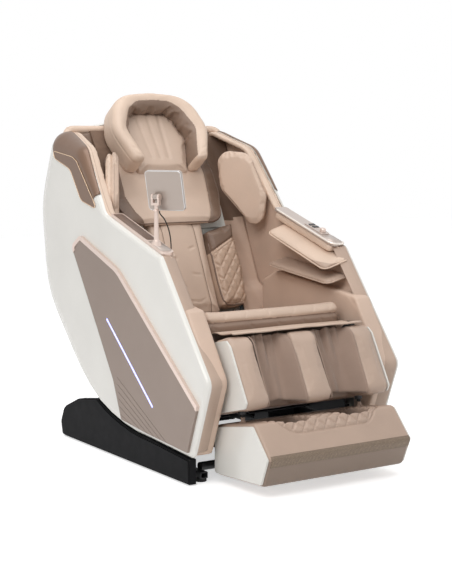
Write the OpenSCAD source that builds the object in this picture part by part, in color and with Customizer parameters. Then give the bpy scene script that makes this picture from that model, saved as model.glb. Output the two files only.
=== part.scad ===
// Capsule massage chair. Millimetres, +Z up, the sitter faces -Y.
// The origin is on the floor, midway across the chair, under the middle of the base.
// "Right" is the sitter's right hand, which is -X. Paired parts are drawn at +X and mirrored.

/* [Cradle] */
// Radius of the round underside of the capsule
shell_r = 890; // [880:1:896]
// Height of the point that the capsule tilts about
pivot_z = 1000; // [996:1:1006]
// How far that point lies in front of the origin
pivot_front = 180; // [174:1:186]
// Radial gap between the capsule and the base skirts under it
cradle_gap = 8; // [6:0.5:12]
// Radius of the nylon rollers that carry the capsule
roller_r = 24; // [20:0.5:26]
// Width of those rollers
roller_w = 20; // [16:1:20]
// Radius of the roller shafts
shaft_r = 9; // [7:0.5:11]
// Radial depth of the curved rails
rail_depth = 28; // [20:1:32]

/* [Base] */
// Width over the base skirts
base_w = 750; // [744:2:758]
// Front end of the base, in front of the origin
base_front = 415; // [405:1:420]
// Rear end of the base, behind the origin
base_rear = 463; // [455:1:490]
// Wall of the moulded base covers
base_wall = 5; // [3:0.5:7]
// Radius of the transport wheels
wheel_r = 25; // [20:0.5:26]
// Height of the rubber floor pads
pad_h = 12; // [9:1:14]

/* [Capsule] */
// Width over the white side shells
shell_w = 758; // [754:2:790]
// Wall of the side shells
shell_wall = 5; // [3:0.5:6]
// Edge radius along the front of the shells
front_round = 15; // [11:1:17]
// Edge radius along the back of the shells
rear_round = 66; // [50:1:68]
// Height of the arm top at its front end
arm_front_h = 706; // [700:1:714]
// Height of the arm top where the hood begins
arm_rear_h = 822; // [814:1:830]
// Height of the rim at the rear corners of the hood
rim_h = 1114; // [1100:1:1125]
// Height of the hood's front edge above the shoulders
hood_knee_h = 1040; // [1030:1:1048]
// How far the back of the hood swells out in its middle
hood_swell = 34; // [15:1:50]
// Thickness of the taupe side inserts
insert_t = 9; // [6:0.5:12]
// Width of the gap between the arm linings at the seat
seat_gap = 596; // [594:1:604]

/* [Seat and back] */
// Angle of the back from the vertical
back_lean = 24; // [23:0.5:25]
// Thickness of the seat cushion
seat_t = 84; // [70:1:92]
// Thickness of the centre back cushion
back_t = 46; // [36:1:47]
// Width of the centre back cushion
back_w = 224; // [200:2:228]
// Thickness of the neck pillow
pillow_t = 108; // [96:1:120]
// Outer width of the neck pillow
pillow_w = 410; // [400:2:420]

/* [Massage drive] */
// Module of the racks and pinions
gear_m = 4; // [3.6:0.1:4.2]
// Number of pinion teeth
pinion_teeth = 10; // [10:1:11]
// Face width of the racks and pinions
gear_w = 12; // [9:0.5:13]
// Travel of the massage carriage each way, in rack teeth
travel_teeth = 13; // [8:1:14]
// Radius of the kneading rollers
knead_r = 22; // [17:0.5:23]

/* [Leg and foot rests] */
// Width of the calf unit
calf_w = 564; // [552:2:572]
// Width of each calf channel
channel_w = 150; // [130:2:156]
// Depth of the calf channels
channel_d = 100; // [80:1:110]
// Width of the foot unit
foot_w = 560; // [548:2:568]
// Depth of the foot wells
well_d = 110; // [90:1:118]
// Thickness of the white side plates
plate_t = 6; // [5:0.5:8]

/* [Tablet] */
// Width and height of the tablet
tablet_w = 130; // [116:2:144]
// Thickness of the tablet
tablet_t = 11; // [9:0.5:14]
// Height of the tapered pole that carries the tablet
pole_h = 118; // [100:1:130]

/* [Hidden] */
$fn = 48;
eps = 0.01;
soft_gap = 0.4;      // between soft solids and what they lie on
run_gap = 0.05;      // radial, between a shaft and its bore
joint_gap = 0.3;     // between faces that slide past each other
py = -pivot_front;
hw = shell_w / 2;
base_r = shell_r + cradle_gap;
rail_r = shell_r - 20;                       // rolling face of the curved rails
roller_orbit = rail_r + joint_gap + roller_r;
front_roller_a = -6;
rear_roller_a = 20;
rail_x0 = 291;                               // inner face of the curved rails
rail_w = 18;
pad_r = 18;
beam_x = 289;                                // inner face of the base beams
beam_w = 26;
beam_h = 20;
skirt_t = 30;

// ---------- outlines and lofts ----------
function unit(v) = v / norm(v);
// Points round one corner q between neighbours a and b
function corner(a, q, b, r) = r <= 0 ? [q] :
    let (u = unit(a - q), w = unit(b - q), half = acos(u * w) / 2,
         turn = 180 - 2 * half, n = max(2, ceil(turn / 15)),
         k = q + unit(u + w) * r / sin(half),
         e = (q + u * r / tan(half) - k), f = (q + w * r / tan(half) - k))
    [for (i = [0 : n]) k + (sin((1 - i / n) * turn) * e + sin(i / n * turn) * f) / sin(turn)];
// Closed outline from corners [u, v, radius]
function outline(c) = let (n = len(c)) [for (i = [0 : n - 1])
    let (a = c[(i + n - 1) % n], q = c[i], b = c[(i + 1) % n])
    each corner([a.x, a.y], [q.x, q.y], [b.x, b.y], q.z)];
// Outward normal at each point of a counterclockwise outline
function normal(p, i) = let (n = len(p), d = unit(p[(i + 1) % n] - p[(i + n - 1) % n]))
    [d.y, -d.x];
// Corner q moved in by d from both its edges, with radius r
function within(a, q, b, d, r) = let (s = unit(q - a), t = unit(b - q), m = [-s.y - t.y, s.x + t.x],
    c = q + m * d * 2 / (m * m)) [c.x, c.y, r];
function inset(p, d) = [for (i = [0 : len(p) - 1]) p[i] - normal(p, i) * d];
// Point at angle a from straight below the tilt centre, and an arc of such points
function radial(a, r) = [py + r * sin(a), pivot_z - r * cos(a)];
function arc(r, a0, a1, n) = [for (i = [0 : n]) radial(a0 + (a1 - a0) * i / n, r)];
function ring(p, x) = [for (q = p) [x, q.x, q.y]];
function smooth(t) = let (c = min(1, max(0, t))) c * c * (3 - 2 * c);

// Outline in the (y, z) plane, extruded from x0 to x1
module slab(p, x0, x1) {
    translate([x0, 0, 0]) rotate([90, 0, 90]) linear_extrude(x1 - x0) polygon(p);
}
// Solid through rings of points. Each ring turns counterclockwise seen from the last one's side.
module loft(rings) {
    n = len(rings[0]);
    m = len(rings);
    polyhedron([for (r = rings) each r], concat(
        [[for (i = [0 : n - 1]) i]],
        [[for (i = [n - 1 : -1 : 0]) (m - 1) * n + i]],
        [for (j = [0 : m - 2]) for (i = [0 : n - 1])
            let (a = j * n + i, b = j * n + (i + 1) % n, c = b + n, d = a + n)
            each [[a, d, c], [a, c, b]]]), convexity = 6);
}
// Slab with its two long edges rounded by e
module soft_slab(p, x0, x1, e) {
    loft([ring(inset(p, e), x0), ring(inset(p, e * 0.3), x0 + e * 0.3), ring(p, x0 + e),
          ring(p, x1 - e), ring(inset(p, e * 0.3), x1 - e * 0.3), ring(inset(p, e), x1)]);
}
module mirrored(side) {
    if (side > 0) children(); else mirror([1, 0, 0]) children();
}
module bar(y, z, r, x0, x1) {
    translate([x0, y, z]) rotate([0, 90, 0]) cylinder(r = r, h = x1 - x0);
}
module block(x0, x1, y0, y1, z0, z1) {
    translate([x0, y0, z0]) cube([x1 - x0, y1 - y0, z1 - z0]);
}
// Ring sector about the tilt centre, angles counted from straight below it
module arc_bar(r0, r1, x0, x1, a0, a1) {
    translate([0, py, pivot_z]) rotate([90, 0, 90]) rotate([0, 0, a0 - 90])
        rotate_extrude(angle = a1 - a0, $fn = 180) translate([r0, x0]) square([r1 - r0, x1 - x0]);
}

// ---------- frame of the back ----------
// Local y is the depth behind the front face of the back, local z runs up it.
back_y = 125;
back_z = 445;
module on_back() {
    translate([0, back_y, back_z]) rotate([-back_lean, 0, 0]) children();
}
function back_point(n, s) = [back_y + n * cos(back_lean) + s * sin(back_lean),
                             back_z - n * sin(back_lean) + s * cos(back_lean)];
// Panel from an outline in local (x, z), between depths n0 and n1
module back_panel(p, n0, n1) {
    translate([0, n1, 0]) rotate([90, 0, 0]) linear_extrude(n1 - n0) polygon(p);
}
function back_ring(p, n) = [for (q = p) [q.x, n, q.y]];
module back_soft(p, n0, n1, e) {
    loft([back_ring(inset(p, e * 0.5), n1), back_ring(p, n1 - e * 0.5), back_ring(p, n0 + e),
          back_ring(inset(p, e * 0.3), n0 + e * 0.3), back_ring(inset(p, e), n0)]);
}

// ---------- side outline of the capsule ----------
toe = [-445, 92];
knee = [-540, 340];
arm_front = [-255, arm_front_h];
arm_rear = [112, arm_rear_h];
hood_knee = [280, hood_knee_h];
rim = [515, rim_h];
tail_a = 44;
hip = [592, 508];
back_pt = [632, 850];
tail = radial(tail_a, shell_r);
arm_slope = atan2(arm_rear.y - arm_front.y, arm_rear.x - arm_front.x);
arm_len = norm(arm_rear - arm_front);
function side_outline() = concat(
    corner(knee, toe, radial(-1, shell_r), 20),
    arc(shell_r, 0, tail_a, 8),
    corner(radial(tail_a, shell_r), hip, back_pt, 320),
    corner(hip, back_pt, rim, 300),
    corner(back_pt, rim, hood_knee, 76),
    corner(rim, hood_knee, arm_rear, 90),
    corner(hood_knee, arm_rear, arm_front, 50),
    corner(arm_rear, arm_front, knee, 22),
    corner(arm_front, knee, toe, 40));
// The edge radius grows from the front of the shell to its back.
function edge_r(p) = front_round + (rear_round - front_round) * smooth((p.x - 120) / 380);

// Outer skin of one side: rolled edge, flat face, even wall
module shell_skin() {
    p = side_outline();
    n = len(p);
    turns = [0, 30, 60, 90];
    m = len(turns);
    out = [for (f = turns) [for (i = [0 : n - 1])
        let (r = edge_r(p[i]), o = p[i] - normal(p, i) * r * (1 - cos(f)))
        [hw - r * (1 - sin(f)), o.x, o.y]]];
    inn = [for (f = turns) [for (i = [0 : n - 1])
        let (r = edge_r(p[i]) - shell_wall,
             o = p[i] - normal(p, i) * (shell_wall + r * (1 - cos(f))))
        [hw - shell_wall - r * (1 - sin(f)), o.x, o.y]]];
    polyhedron([for (r = out) each r, for (r = inn) each r], concat(
        [for (j = [0 : m - 2]) for (i = [0 : n - 1])
            let (a = j * n + i, b = j * n + (i + 1) % n)
            each [[a, a + n, b + n], [a, b + n, b]]],
        [for (j = [m : 2 * m - 2]) for (i = [0 : n - 1])
            let (a = j * n + i, b = j * n + (i + 1) % n)
            each [[a, b + n, a + n], [a, b, b + n]]],
        [for (i = [0 : n - 1])
            let (a = i, b = (i + 1) % n, c = m * n + i, d = m * n + b)
            each [[a, b, d], [a, d, c]]],
        [[for (i = [n - 1 : -1 : 0]) (m - 1) * n + i]],
        [[for (i = [0 : n - 1]) (2 * m - 1) * n + i]]), convexity = 8);
}

// ---------- base ----------
lobe = [base_rear - 135, 157];
function skirt_outline() = concat(
    [[-base_front, 4]],
    corner([-base_front, 4], [base_rear - 12, 4], [base_rear, 56], 14),
    corner([base_rear - 12, 4], [base_rear, 56], [base_rear - 28, 112], 30),
    corner([base_rear, 56], [base_rear - 28, 112], lobe, 34),
    corner([base_rear - 28, 112], lobe, radial(24, base_r), 60),
    arc(base_r, 24, 0, 6),
    [[-base_front, 92 - cradle_gap]]);
bosses = [-330, 150];
module base_skirt(side) {
    p = skirt_outline();
    x1 = base_w / 2;
    color([0.06, 0.06, 0.065]) mirrored(side) difference() {
        union() {
            slab(p, x1 - skirt_t, x1 - 6);
            slab(inset(p, 5), x1 - 7, x1);
        }
        difference() {
            slab(inset(p, base_wall + 4), x1 - skirt_t - 1, x1 - base_wall);
            for (y = bosses) block(x1 - skirt_t - 2, x1, y - 10, y + 10, 0, 44);
            for (y = [-200, -90, 20, 290]) block(x1 - skirt_t + 4, x1, y, y + 4, 0, 200);
        }
    }
}
cover_hw = 276;
module base_rear_cover() {
    p = skirt_outline();
    color([0.06, 0.06, 0.065]) difference() {
        translate([-cover_hw, 0, 0]) rotate([90, 0, 90]) linear_extrude(2 * cover_hw) intersection() {
            difference() {
                polygon(p);
                polygon(inset(p, base_wall));
            }
            translate([base_rear - 130, 0]) square([200, 170]);
        }
        block(inlet_x - 26.7, inlet_x + 26.7, base_rear - 60, base_rear + 9, inlet_z - 12.7,
              inlet_z + 12.7);
        block(-26, 26, base_rear - 140, base_rear - 100, 100, 170);
    }
}
module floor_pads() {
    x = beam_x + beam_w / 2;
    color([0.03, 0.03, 0.03]) for (q = [[x, -375], [-x, -375], [x, 366], [-x, 366], [0, 0]])
        translate([q.x, q.y, 0]) cylinder(r = pad_r, h = pad_h);
}
wheel_y = base_rear - 45;
wheel_z = wheel_r + 3;
wheel_w = 20;
axle_r = 6;
tilt_pin = [330, 75];
pin_r = 7;
module bearing_plate(a, y0, y1) {
    c = radial(a, roller_orbit);
    difference() {
        union() {
            slab([[y0, pad_h], [y1, pad_h], [c.x + 20, c.y], [c.x - 20, c.y]], 281, beam_x);
            bar(c.x, c.y, 20, 281, beam_x);
        }
        bar(c.x, c.y, shaft_r + run_gap, 280, beam_x + 1);
    }
}
module base_frame() {
    color([0.32, 0.33, 0.35]) union() {
        for (side = [1, -1]) mirrored(side) {
            difference() {
                block(beam_x, beam_x + beam_w, -395, 385, pad_h, pad_h + beam_h);
                block(beam_x + 2, beam_x + beam_w - 2, -396, 386, pad_h + 2, pad_h + beam_h - 2);
            }
            bearing_plate(front_roller_a, -310, -235);
            bearing_plate(rear_roller_a, 70, 180);
            difference() {
                slab([[340, pad_h], [wheel_y + 18, pad_h + 4], [wheel_y + 18, wheel_z + 16],
                      [wheel_y - 20, wheel_z + 20], [340, wheel_z + 10]], 281, beam_x + 1);
                bar(wheel_y, wheel_z, axle_r + run_gap, 280, beam_x + 2);
            }
            for (y = bosses) block(beam_x + beam_w, base_w / 2 - skirt_t, y - 8, y + 8, 14, 30);
            block(250, 270, 335, base_rear - 8.8, 40, 52);
        }
        for (y = [-350, 0, 340]) bar(y, 40, 14, -beam_x - 2, beam_x + 2);
        block(-pad_r, pad_r, -pad_r, pad_r, pad_h, 36);
        for (side = [1, -1]) mirrored(side)
            slab([[322, 36], [358, 36], [tilt_pin.x + 14, tilt_pin.y + 12],
                  [tilt_pin.x - 14, tilt_pin.y + 12]], 14, 19);
        bar(tilt_pin.x, tilt_pin.y, pin_r, -19, 19);
    }
}
inlet_x = 150;
inlet_z = 48;
inlet_y = base_rear - 3;
module power_inlet() {
    color([0.08, 0.08, 0.09]) difference() {
        union() {
            block(inlet_x - 26.5, inlet_x + 26.5, inlet_y - 44, inlet_y + 3, inlet_z - 12.5,
                  inlet_z + 12.5);
        }
        block(inlet_x - 2, inlet_x + 23, inlet_y - 22, inlet_y + 4, inlet_z - 9, inlet_z + 9);
        block(inlet_x - 23, inlet_x - 7, inlet_y - 14, inlet_y + 4, inlet_z - 9, inlet_z + 9);
        bar(inlet_y - 5, inlet_z, 2 + run_gap, inlet_x - 25.5, inlet_x - 4.5);
    }
    color([0.7, 0.7, 0.72]) for (p = [[5, 0], [10.5, 3.5], [16, 0]])
        block(inlet_x + p.x - 1, inlet_x + p.x + 1, inlet_y - 22, inlet_y - 6,
              inlet_z + p.y - 2, inlet_z + p.y + 2);
}
// Two-faced rocker on its pins
module power_switch() {
    color([0.75, 0.05, 0.04]) union() {
        intersection() {
            bar(inlet_y - 5, inlet_z, 8.2, inlet_x - 22.5, inlet_x - 7.5);
            slab([[inlet_y - 12, inlet_z - 6], [inlet_y, inlet_z - 9], [inlet_y + 1, inlet_z],
                  [inlet_y + 5, inlet_z + 9], [inlet_y - 12, inlet_z + 6]],
                 inlet_x - 22.5, inlet_x - 7.5);
        }
        bar(inlet_y - 5, inlet_z, 2, inlet_x - 25, inlet_x - 5);
    }
}
module transport_wheels() {
    color([0.16, 0.16, 0.17]) union() {
        bar(wheel_y, wheel_z, axle_r, -beam_x - 4, beam_x + 4);
        for (side = [1, -1]) mirrored(side) {
            bar(wheel_y, wheel_z, axle_r + 5, 268, 280);
            translate([beam_x + 2, wheel_y, wheel_z]) rotate([0, 90, 0]) rotate_extrude()
                polygon([[0, 0], [10, 0], [12, 3], [19, 3], [20, 0], [wheel_r - 3, 0],
                         [wheel_r, 3], [wheel_r, wheel_w - 3], [wheel_r - 3, wheel_w],
                         [20, wheel_w], [19, wheel_w - 3], [12, wheel_w - 3], [10, wheel_w],
                         [0, wheel_w]]);
        }
    }
}
// Two nylon rollers on one shaft
module roller_shaft(a) {
    c = radial(a, roller_orbit);
    color([0.86, 0.85, 0.8]) union() {
        bar(c.x, c.y, shaft_r, -314, 314);
        for (side = [1, -1]) mirrored(side) {
            translate([291, c.x, c.y]) rotate([0, 90, 0]) rotate_extrude()
                polygon([[0, 0], [roller_r - 2, 0], [roller_r, 2], [roller_r, roller_w - 2],
                         [roller_r - 2, roller_w], [16, roller_w], [14, roller_w - 2],
                         [shaft_r + 3, roller_w - 2], [shaft_r + 3, roller_w + 2], [0, roller_w + 2]]);
            bar(c.x, c.y, shaft_r + 4, 274, 280);
        }
    }
}
module front_rollers() { roller_shaft(front_roller_a); }
module rear_rollers() { roller_shaft(rear_roller_a); }

// ---------- tilt actuator ----------
tilt_hook = [-215, 190];                     // where it pushes on the seat frame at rest
tilt_dir = unit(tilt_hook - tilt_pin);
tilt_angle = atan2(tilt_dir.y, -tilt_dir.x);
tilt_tube_r = 19;
tilt_rod_r = 10;
module along_tilt() {
    translate([0, tilt_pin.x, tilt_pin.y]) rotate([90 - tilt_angle, 0, 0]) children();
}
tilt_len = norm(tilt_hook - tilt_pin);
module tilt_actuator_tube() {
    color([0.12, 0.12, 0.13]) along_tilt() difference() {
        union() {
            rotate([0, 90, 0]) translate([0, 0, -12]) cylinder(r = 15, h = 24);
            cylinder(r = 12, h = 24);
            translate([0, 0, 20]) cylinder(r = tilt_tube_r, h = 420);
            translate([0, 0, 26]) cylinder(r = tilt_tube_r + 4, h = 50);
            translate([-16, 12, 26]) cube([32, 46, 92]);
            translate([0, 0, 424]) cylinder(r = tilt_tube_r + 3, h = 16);
        }
        rotate([0, 90, 0]) translate([0, 0, -13]) cylinder(r = pin_r + run_gap, h = 26);
        translate([0, 0, 80]) cylinder(r = tilt_rod_r + run_gap, h = 361);
    }
}
module tilt_actuator_rod() {
    color([0.75, 0.76, 0.78]) along_tilt() difference() {
        union() {
            translate([0, 0, 84]) cylinder(r = tilt_rod_r, h = tilt_len - 84 - 10);
            translate([0, 0, tilt_len]) rotate([0, 90, 0]) translate([0, 0, -11])
                cylinder(r = 15, h = 22);
        }
        translate([0, 0, tilt_len]) rotate([0, 90, 0]) translate([0, 0, -12])
            cylinder(r = pin_r + run_gap, h = 24);
    }
}

// ---------- seat frame ----------
leg_pivot = [-385, 450];
leg_pin_r = 8;
pan_front = [-352, 419];
pan_rear = [112, 352];
pan_t = 8;
leg_act_pin = [20, 262];
upright_x = 222;
hood_bar = back_point(152, 650);
top_bar = back_point(112, 715);
module web() {
    difference() {
        slab(concat(arc(rail_r - rail_depth + 3, -12, tail_a, 8),
             [[300, 490], [215, 520], pan_rear - [0, 3], pan_front - [0, 3], [-352, 380], [-300, 330]]),
             rail_x0 - 1, rail_x0 + 3);
        for (c = [[-255, 300, 30], [-130, 290, 50], [-20, 255, 42], [130, 300, 44], [215, 345, 34],
                  [310, 430, 26]])
            bar(c.x, c.y, c.z, rail_x0 - 2, rail_x0 + 4);
    }
}
module seat_frame() {
    color([0.3, 0.31, 0.33]) union() {
        for (side = [1, -1]) mirrored(side) {
            web();
            arc_bar(rail_r - rail_depth, rail_r, rail_x0, rail_x0 + rail_w, -12, tail_a);
            slab([[-352, 380], [-300, 380], [-300, 409], [-372, 466], [-398, 466], [-402, 440]],
                 284, rail_x0);
            bar(leg_pivot.x, leg_pivot.y, leg_pin_r, 270, 284);
            on_back() block(upright_x, upright_x + 6, 100, 140, -60, 700);
            on_back() block(upright_x, upright_x + 6, 100, 124, 690, 728);
            on_back() block(upright_x, upright_x + 6, 130, 160, 640, 660);
        }
        slab([pan_front, pan_front - [0, pan_t], pan_rear - [0, pan_t], pan_rear],
             -rail_x0 - 1, rail_x0 + 1);
        bar(-290, 376, 13, -rail_x0, rail_x0);
        bar(-215, 232, 13, -rail_x0, rail_x0);
        bar(leg_act_pin.x + 32, leg_act_pin.y, 13, -rail_x0, rail_x0);
        bar(240, 410, 13, -rail_x0, rail_x0);
        bar(top_bar.x, top_bar.y, 11, -upright_x - 2, upright_x + 2);
        bar(hood_bar.x, hood_bar.y, 10, -wall_x0, wall_x0);
        for (side = [1, -1]) mirrored(side) {
            slab([[-232, 232], [-198, 232], [tilt_hook.x + 15, tilt_hook.y - 12],
                  [tilt_hook.x - 15, tilt_hook.y - 12]], 13, 18);
            slab([[leg_act_pin.x - 12, leg_act_pin.y - 12], [leg_act_pin.x + 34, leg_act_pin.y - 12],
                  [leg_act_pin.x + 34, leg_act_pin.y + 12], [leg_act_pin.x - 12, leg_act_pin.y + 12]],
                 13, 18);
        }
        bar(leg_act_pin.x, leg_act_pin.y, pin_r, -18, 18);
    }
}
// Underside cover between the rails, slotted for the tilt actuator
module belly_cover() {
    color([0.2, 0.2, 0.21]) difference() {
        arc_bar(860, 864, -rail_x0, rail_x0, 2, 44);
        block(-40, 40, py, 400, 100, 400);
    }
}

// ---------- side shells and their trim ----------
module side_shell(side) {
    color([0.93, 0.92, 0.9]) mirrored(side) shell_skin();
}
function insert_outline() = concat(
    [[-430, 112], radial(0, shell_r - 18), radial(11, shell_r - 18)],
    corner([-10, 135], [38, 268], [150, 435], 80),
    corner([38, 268], [150, 435], [335, 700], 200),
    corner([150, 435], [332, 700], [272, 740], 22),
    corner([335, 700], [268, 741], [15, 652], 24),
    corner([268, 741], [5, 648], [-490, 268], 160),
    [[-490, 268]]);
strip_w = 15;
module strip_area() {
    polygon([[350, 672], [300, 760], [-40, 690], [-560, 300], [-488, 250], [-440, 276],
             [-20, 590], [290, 700], [325, 672]]);
}
bar_rear = [80, 472];
bar_front = [-222, 220];
module side_inserts() {
    d = bar_front - bar_rear;
    color([0.62, 0.55, 0.5]) for (side = [1, -1]) mirrored(side) difference() {
        translate([hw, 0, 0]) rotate([90, 0, 90]) linear_extrude(insert_t) difference() {
            polygon(insert_outline());
            intersection() {
                difference() {
                    offset(delta = 1) polygon(insert_outline());
                    polygon(inset(insert_outline(), strip_w));
                }
                strip_area();
            }
        }
        translate([hw + insert_t - 1.5, bar_rear.x, bar_rear.y])
            rotate([atan2(d.y, d.x), 0, 0]) translate([0, 0, -4]) cube([3, norm(d), 8]);
        for (k = [0 : 5]) {
            a = [10 - 3 * k, 284 - 24 * k];
            b = [-315 + 36 * k, 118 + k];
            translate([hw + insert_t - 1, a.x, a.y])
                rotate([atan2(b.y - a.y, b.x - a.x), 0, 0]) cube([2, norm(b - a), 2]);
        }
    }
}
module insert_trims() {
    color([0.8, 0.66, 0.6]) for (side = [1, -1]) mirrored(side)
        translate([hw, 0, 0]) rotate([90, 0, 90]) linear_extrude(insert_t + 2) intersection() {
            difference() {
                polygon(insert_outline());
                polygon(inset(insert_outline(), strip_w));
            }
            strip_area();
        }
}
module light_bars() {
    d = bar_front - bar_rear;
    color([0.6, 0.65, 1]) for (side = [1, -1]) mirrored(side)
        translate([hw + insert_t - 1.5, bar_rear.x, bar_rear.y])
            rotate([atan2(d.y, d.x), 0, 0]) translate([0, 0.2, -3.8])
                cube([1.6, norm(d) - 0.4, 7.6]);
}
module hood_inserts() {
    color([0.45, 0.33, 0.24]) for (side = [1, -1]) mirrored(side)
        slab(outline([[162, 838, 6], [268, 862, 40], [348, 968, 70], [470, 1004, 20],
                      [474, 1028, 5], [332, 1010, 50], [300, 996, 30], [172, 856, 8]]), hw, hw + 3);
}
// Padded rim that runs up both arms and round the top of the hood
rim_t = 15;
rim_wide = 34;
function rim_path() = let (p = side_outline(), n = len(p))
    [for (i = [0 : n - 1]) if (p[i].x > -262 && p[i].x < rim.x - 28 && p[i].y > arm_front_h - 22
        && i > 24) [hw - edge_r(p[i]) - joint_gap, p[i], normal(p, i)]];
module rim_side() {
    path = rim_path();
    loft([for (q = path) let (a = q[1] - q[2] * 2, b = q[1] - q[2] * (2 + rim_t))
        [[q[0], a.x, a.y], [q[0] - rim_wide, a.x, a.y], [q[0] - rim_wide, b.x, b.y],
         [q[0], b.x, b.y]]]);
}
module hood_rim() {
    color([0.86, 0.75, 0.67]) {
        rim_side();
        mirror([1, 0, 0]) rim_side();
    }
}
// Rear wall between the side shells, swelling out towards its middle
function rear_path() = concat(
    [radial(46.5, shell_r)],
    corner(radial(tail_a, shell_r), hip, back_pt, 320),
    corner(hip, back_pt, rim, 300),
    [rim + [4, -30], rim + [-8, -6], rim + [-30, -10]]);
module hood_shell() {
    p = rear_path();
    n = len(p);
    x1 = hw - rear_round - joint_gap;
    cols = [-1, -0.8, -0.6, -0.4, -0.2, 0, 0.2, 0.4, 0.6, 0.8, 1];
    function at(q, t) = let (w = (1 + cos(180 * t)) / 2, up = smooth((q.y - 900) / 200))
        [(x1 + 1) * t, q.x + w * (hood_swell + 26 * up), q.y + w * 38 * up];
    function wall(i) = p[i] - shell_wall * unit([
        p[min(n - 1, i + 1)].y - p[max(0, i - 1)].y, p[max(0, i - 1)].x - p[min(n - 1, i + 1)].x]);
    color([0.93, 0.92, 0.9]) intersection() {
        block(-x1, x1, 300, 800, 300, 1300);
        loft([for (t = cols) concat(
            [for (i = [0 : n - 1]) at(p[i], t)],
            [for (i = [n - 1 : -1 : 0]) at(wall(i), t)])]);
    }
}

// ---------- arm linings ----------
wall_x0 = hw - 37;                           // inner face of the arm walls
lining_x0 = seat_gap / 2;
wall_t = 10;
function wall_outline(d) = outline([[-386, 331, 4], [340, 331, 60], within(tail, hip, back_pt, d, 220),
    within(hip, back_pt, rim, d, 200), within(back_pt, rim, hood_knee, d, 50),
    within(rim, hood_knee, arm_rear, d, 60), within(hood_knee, arm_rear, arm_front, d - 7, 40),
    within(arm_rear, arm_front, knee, d - 7, 14), [-519, 345, 20]]);
module arm_lining(side) {
    x1 = hw - front_round - 1;
    color([0.8, 0.68, 0.6]) mirrored(side) union() {
        difference() {
            union() {
                slab(wall_outline(25), wall_x0, wall_x0 + wall_t);
                slab(outline([[-300, 400, 20], [330, 400, 60], [480, 560, 150], [500, 840, 150],
                              [420, 960, 40], [300, 900, 40], [80, 740, 40], [-260, 610, 20]]),
                     wall_x0 + wall_t - 1, hw - shell_wall);
            }
            bar(405, 985, 30, wall_x0 - 1, wall_x0 + 8);
        }
        slab(outline([[-440, 98, 4], [-386, 98, 4], [-386, 332, 20], [150, 332, 4], [150, 560, 10],
                      [60, 600, 30], [-310, 560, 40], [-392, 548, 20], [-531, 340, 36]]),
             lining_x0, x1);
    }
}
module speakers() {
    color([0.35, 0.29, 0.25]) for (side = [1, -1]) mirrored(side) difference() {
        bar(405, 985, 29.8, wall_x0 - 4, wall_x0 + 8);
        for (k = [-3 : 3]) block(wall_x0 - 5, wall_x0 - 1, 405 - 22, 405 + 22, 984 + 6 * k,
                                 986 + 6 * k);
    }
}
module on_arm() {
    translate([0, arm_front.x, arm_front.y]) rotate([arm_slope, 0, 0]) children();
}
// Height of the arm line at y
function arm_z(y) = round(arm_front.y + (y - arm_front.x) * tan(arm_slope));
pole_xy = [-wall_x0 - 3, -180];
collar_z = arm_z(pole_xy.y) + 18;
collar_h = 15;
pole_pin_r = 6;
module arm_rest_right() {
    color([0.78, 0.64, 0.58]) difference() {
        union() {
            mirror([1, 0, 0]) on_arm() difference() {
                translate([0, 0, -2]) linear_extrude(11) polygon(outline([
                    [wall_x0 - 26, 10, 16], [hw - 16, 10, 16], [hw - 16, arm_len - 18, 10],
                    [wall_x0 - 26, arm_len - 18, 10]]));
                translate([0, 0, 6.5]) linear_extrude(4) polygon(outline([
                    [wall_x0 - 21, 120, 8], [hw - 21, 120, 8], [hw - 21, arm_len - 24, 6],
                    [wall_x0 - 21, arm_len - 24, 6]]));
            }
            translate([pole_xy.x, pole_xy.y, collar_z - collar_h])
                cylinder(r1 = 17, r2 = 15, h = collar_h);
        }
        translate([pole_xy.x, pole_xy.y, collar_z - 48])
            cylinder(r = pole_pin_r + run_gap, h = 60);
    }
}
knob_at = [wall_x0 + 3, 112];
button_x0 = wall_x0 - 9;
buttons = [150, 172];
panel_z = 12;
module arm_rest_left() {
    color([0.66, 0.58, 0.53]) on_arm() difference() {
        union() {
            translate([0, 0, -2]) linear_extrude(11) polygon(outline([[wall_x0 - 32, 6, 20],
                [hw - 16, 6, 20], [hw - 16, arm_len - 18, 10], [wall_x0 - 32, arm_len - 18, 10]]));
            translate([0, 0, 9]) linear_extrude(panel_z - 9) polygon(outline([
                [wall_x0 - 18, 88, 10], [hw - 18, 88, 10], [hw - 18, 200, 10],
                [wall_x0 - 18, 200, 10]]));
        }
        translate([knob_at.x, knob_at.y, 1]) cylinder(r = 3 + run_gap, h = 20);
        for (y = buttons) translate([button_x0 - joint_gap, y - joint_gap, 6])
            cube([24 + 2 * joint_gap, 12 + 2 * joint_gap, 10]);
    }
}
module control_knob() {
    color([0.85, 0.75, 0.7]) on_arm() translate([knob_at.x, knob_at.y, 0]) union() {
        translate([0, 0, 2]) cylinder(r = 3, h = 12);
        translate([0, 0, panel_z + joint_gap]) rotate_extrude()
            polygon([[0, 0], [11, 0], [11.5, 2], [10.5, 9], [9, 11], [0, 11]]);
    }
}
module control_button(k) {
    color([0.3, 0.27, 0.26]) on_arm() translate([button_x0, buttons[k], 8.5])
        linear_extrude(5.5) polygon(outline([[0, 0, 3], [24, 0, 3], [24, 12, 3], [0, 12, 3]]));
}
module control_button_front() { control_button(0); }
module control_button_rear() { control_button(1); }
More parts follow.
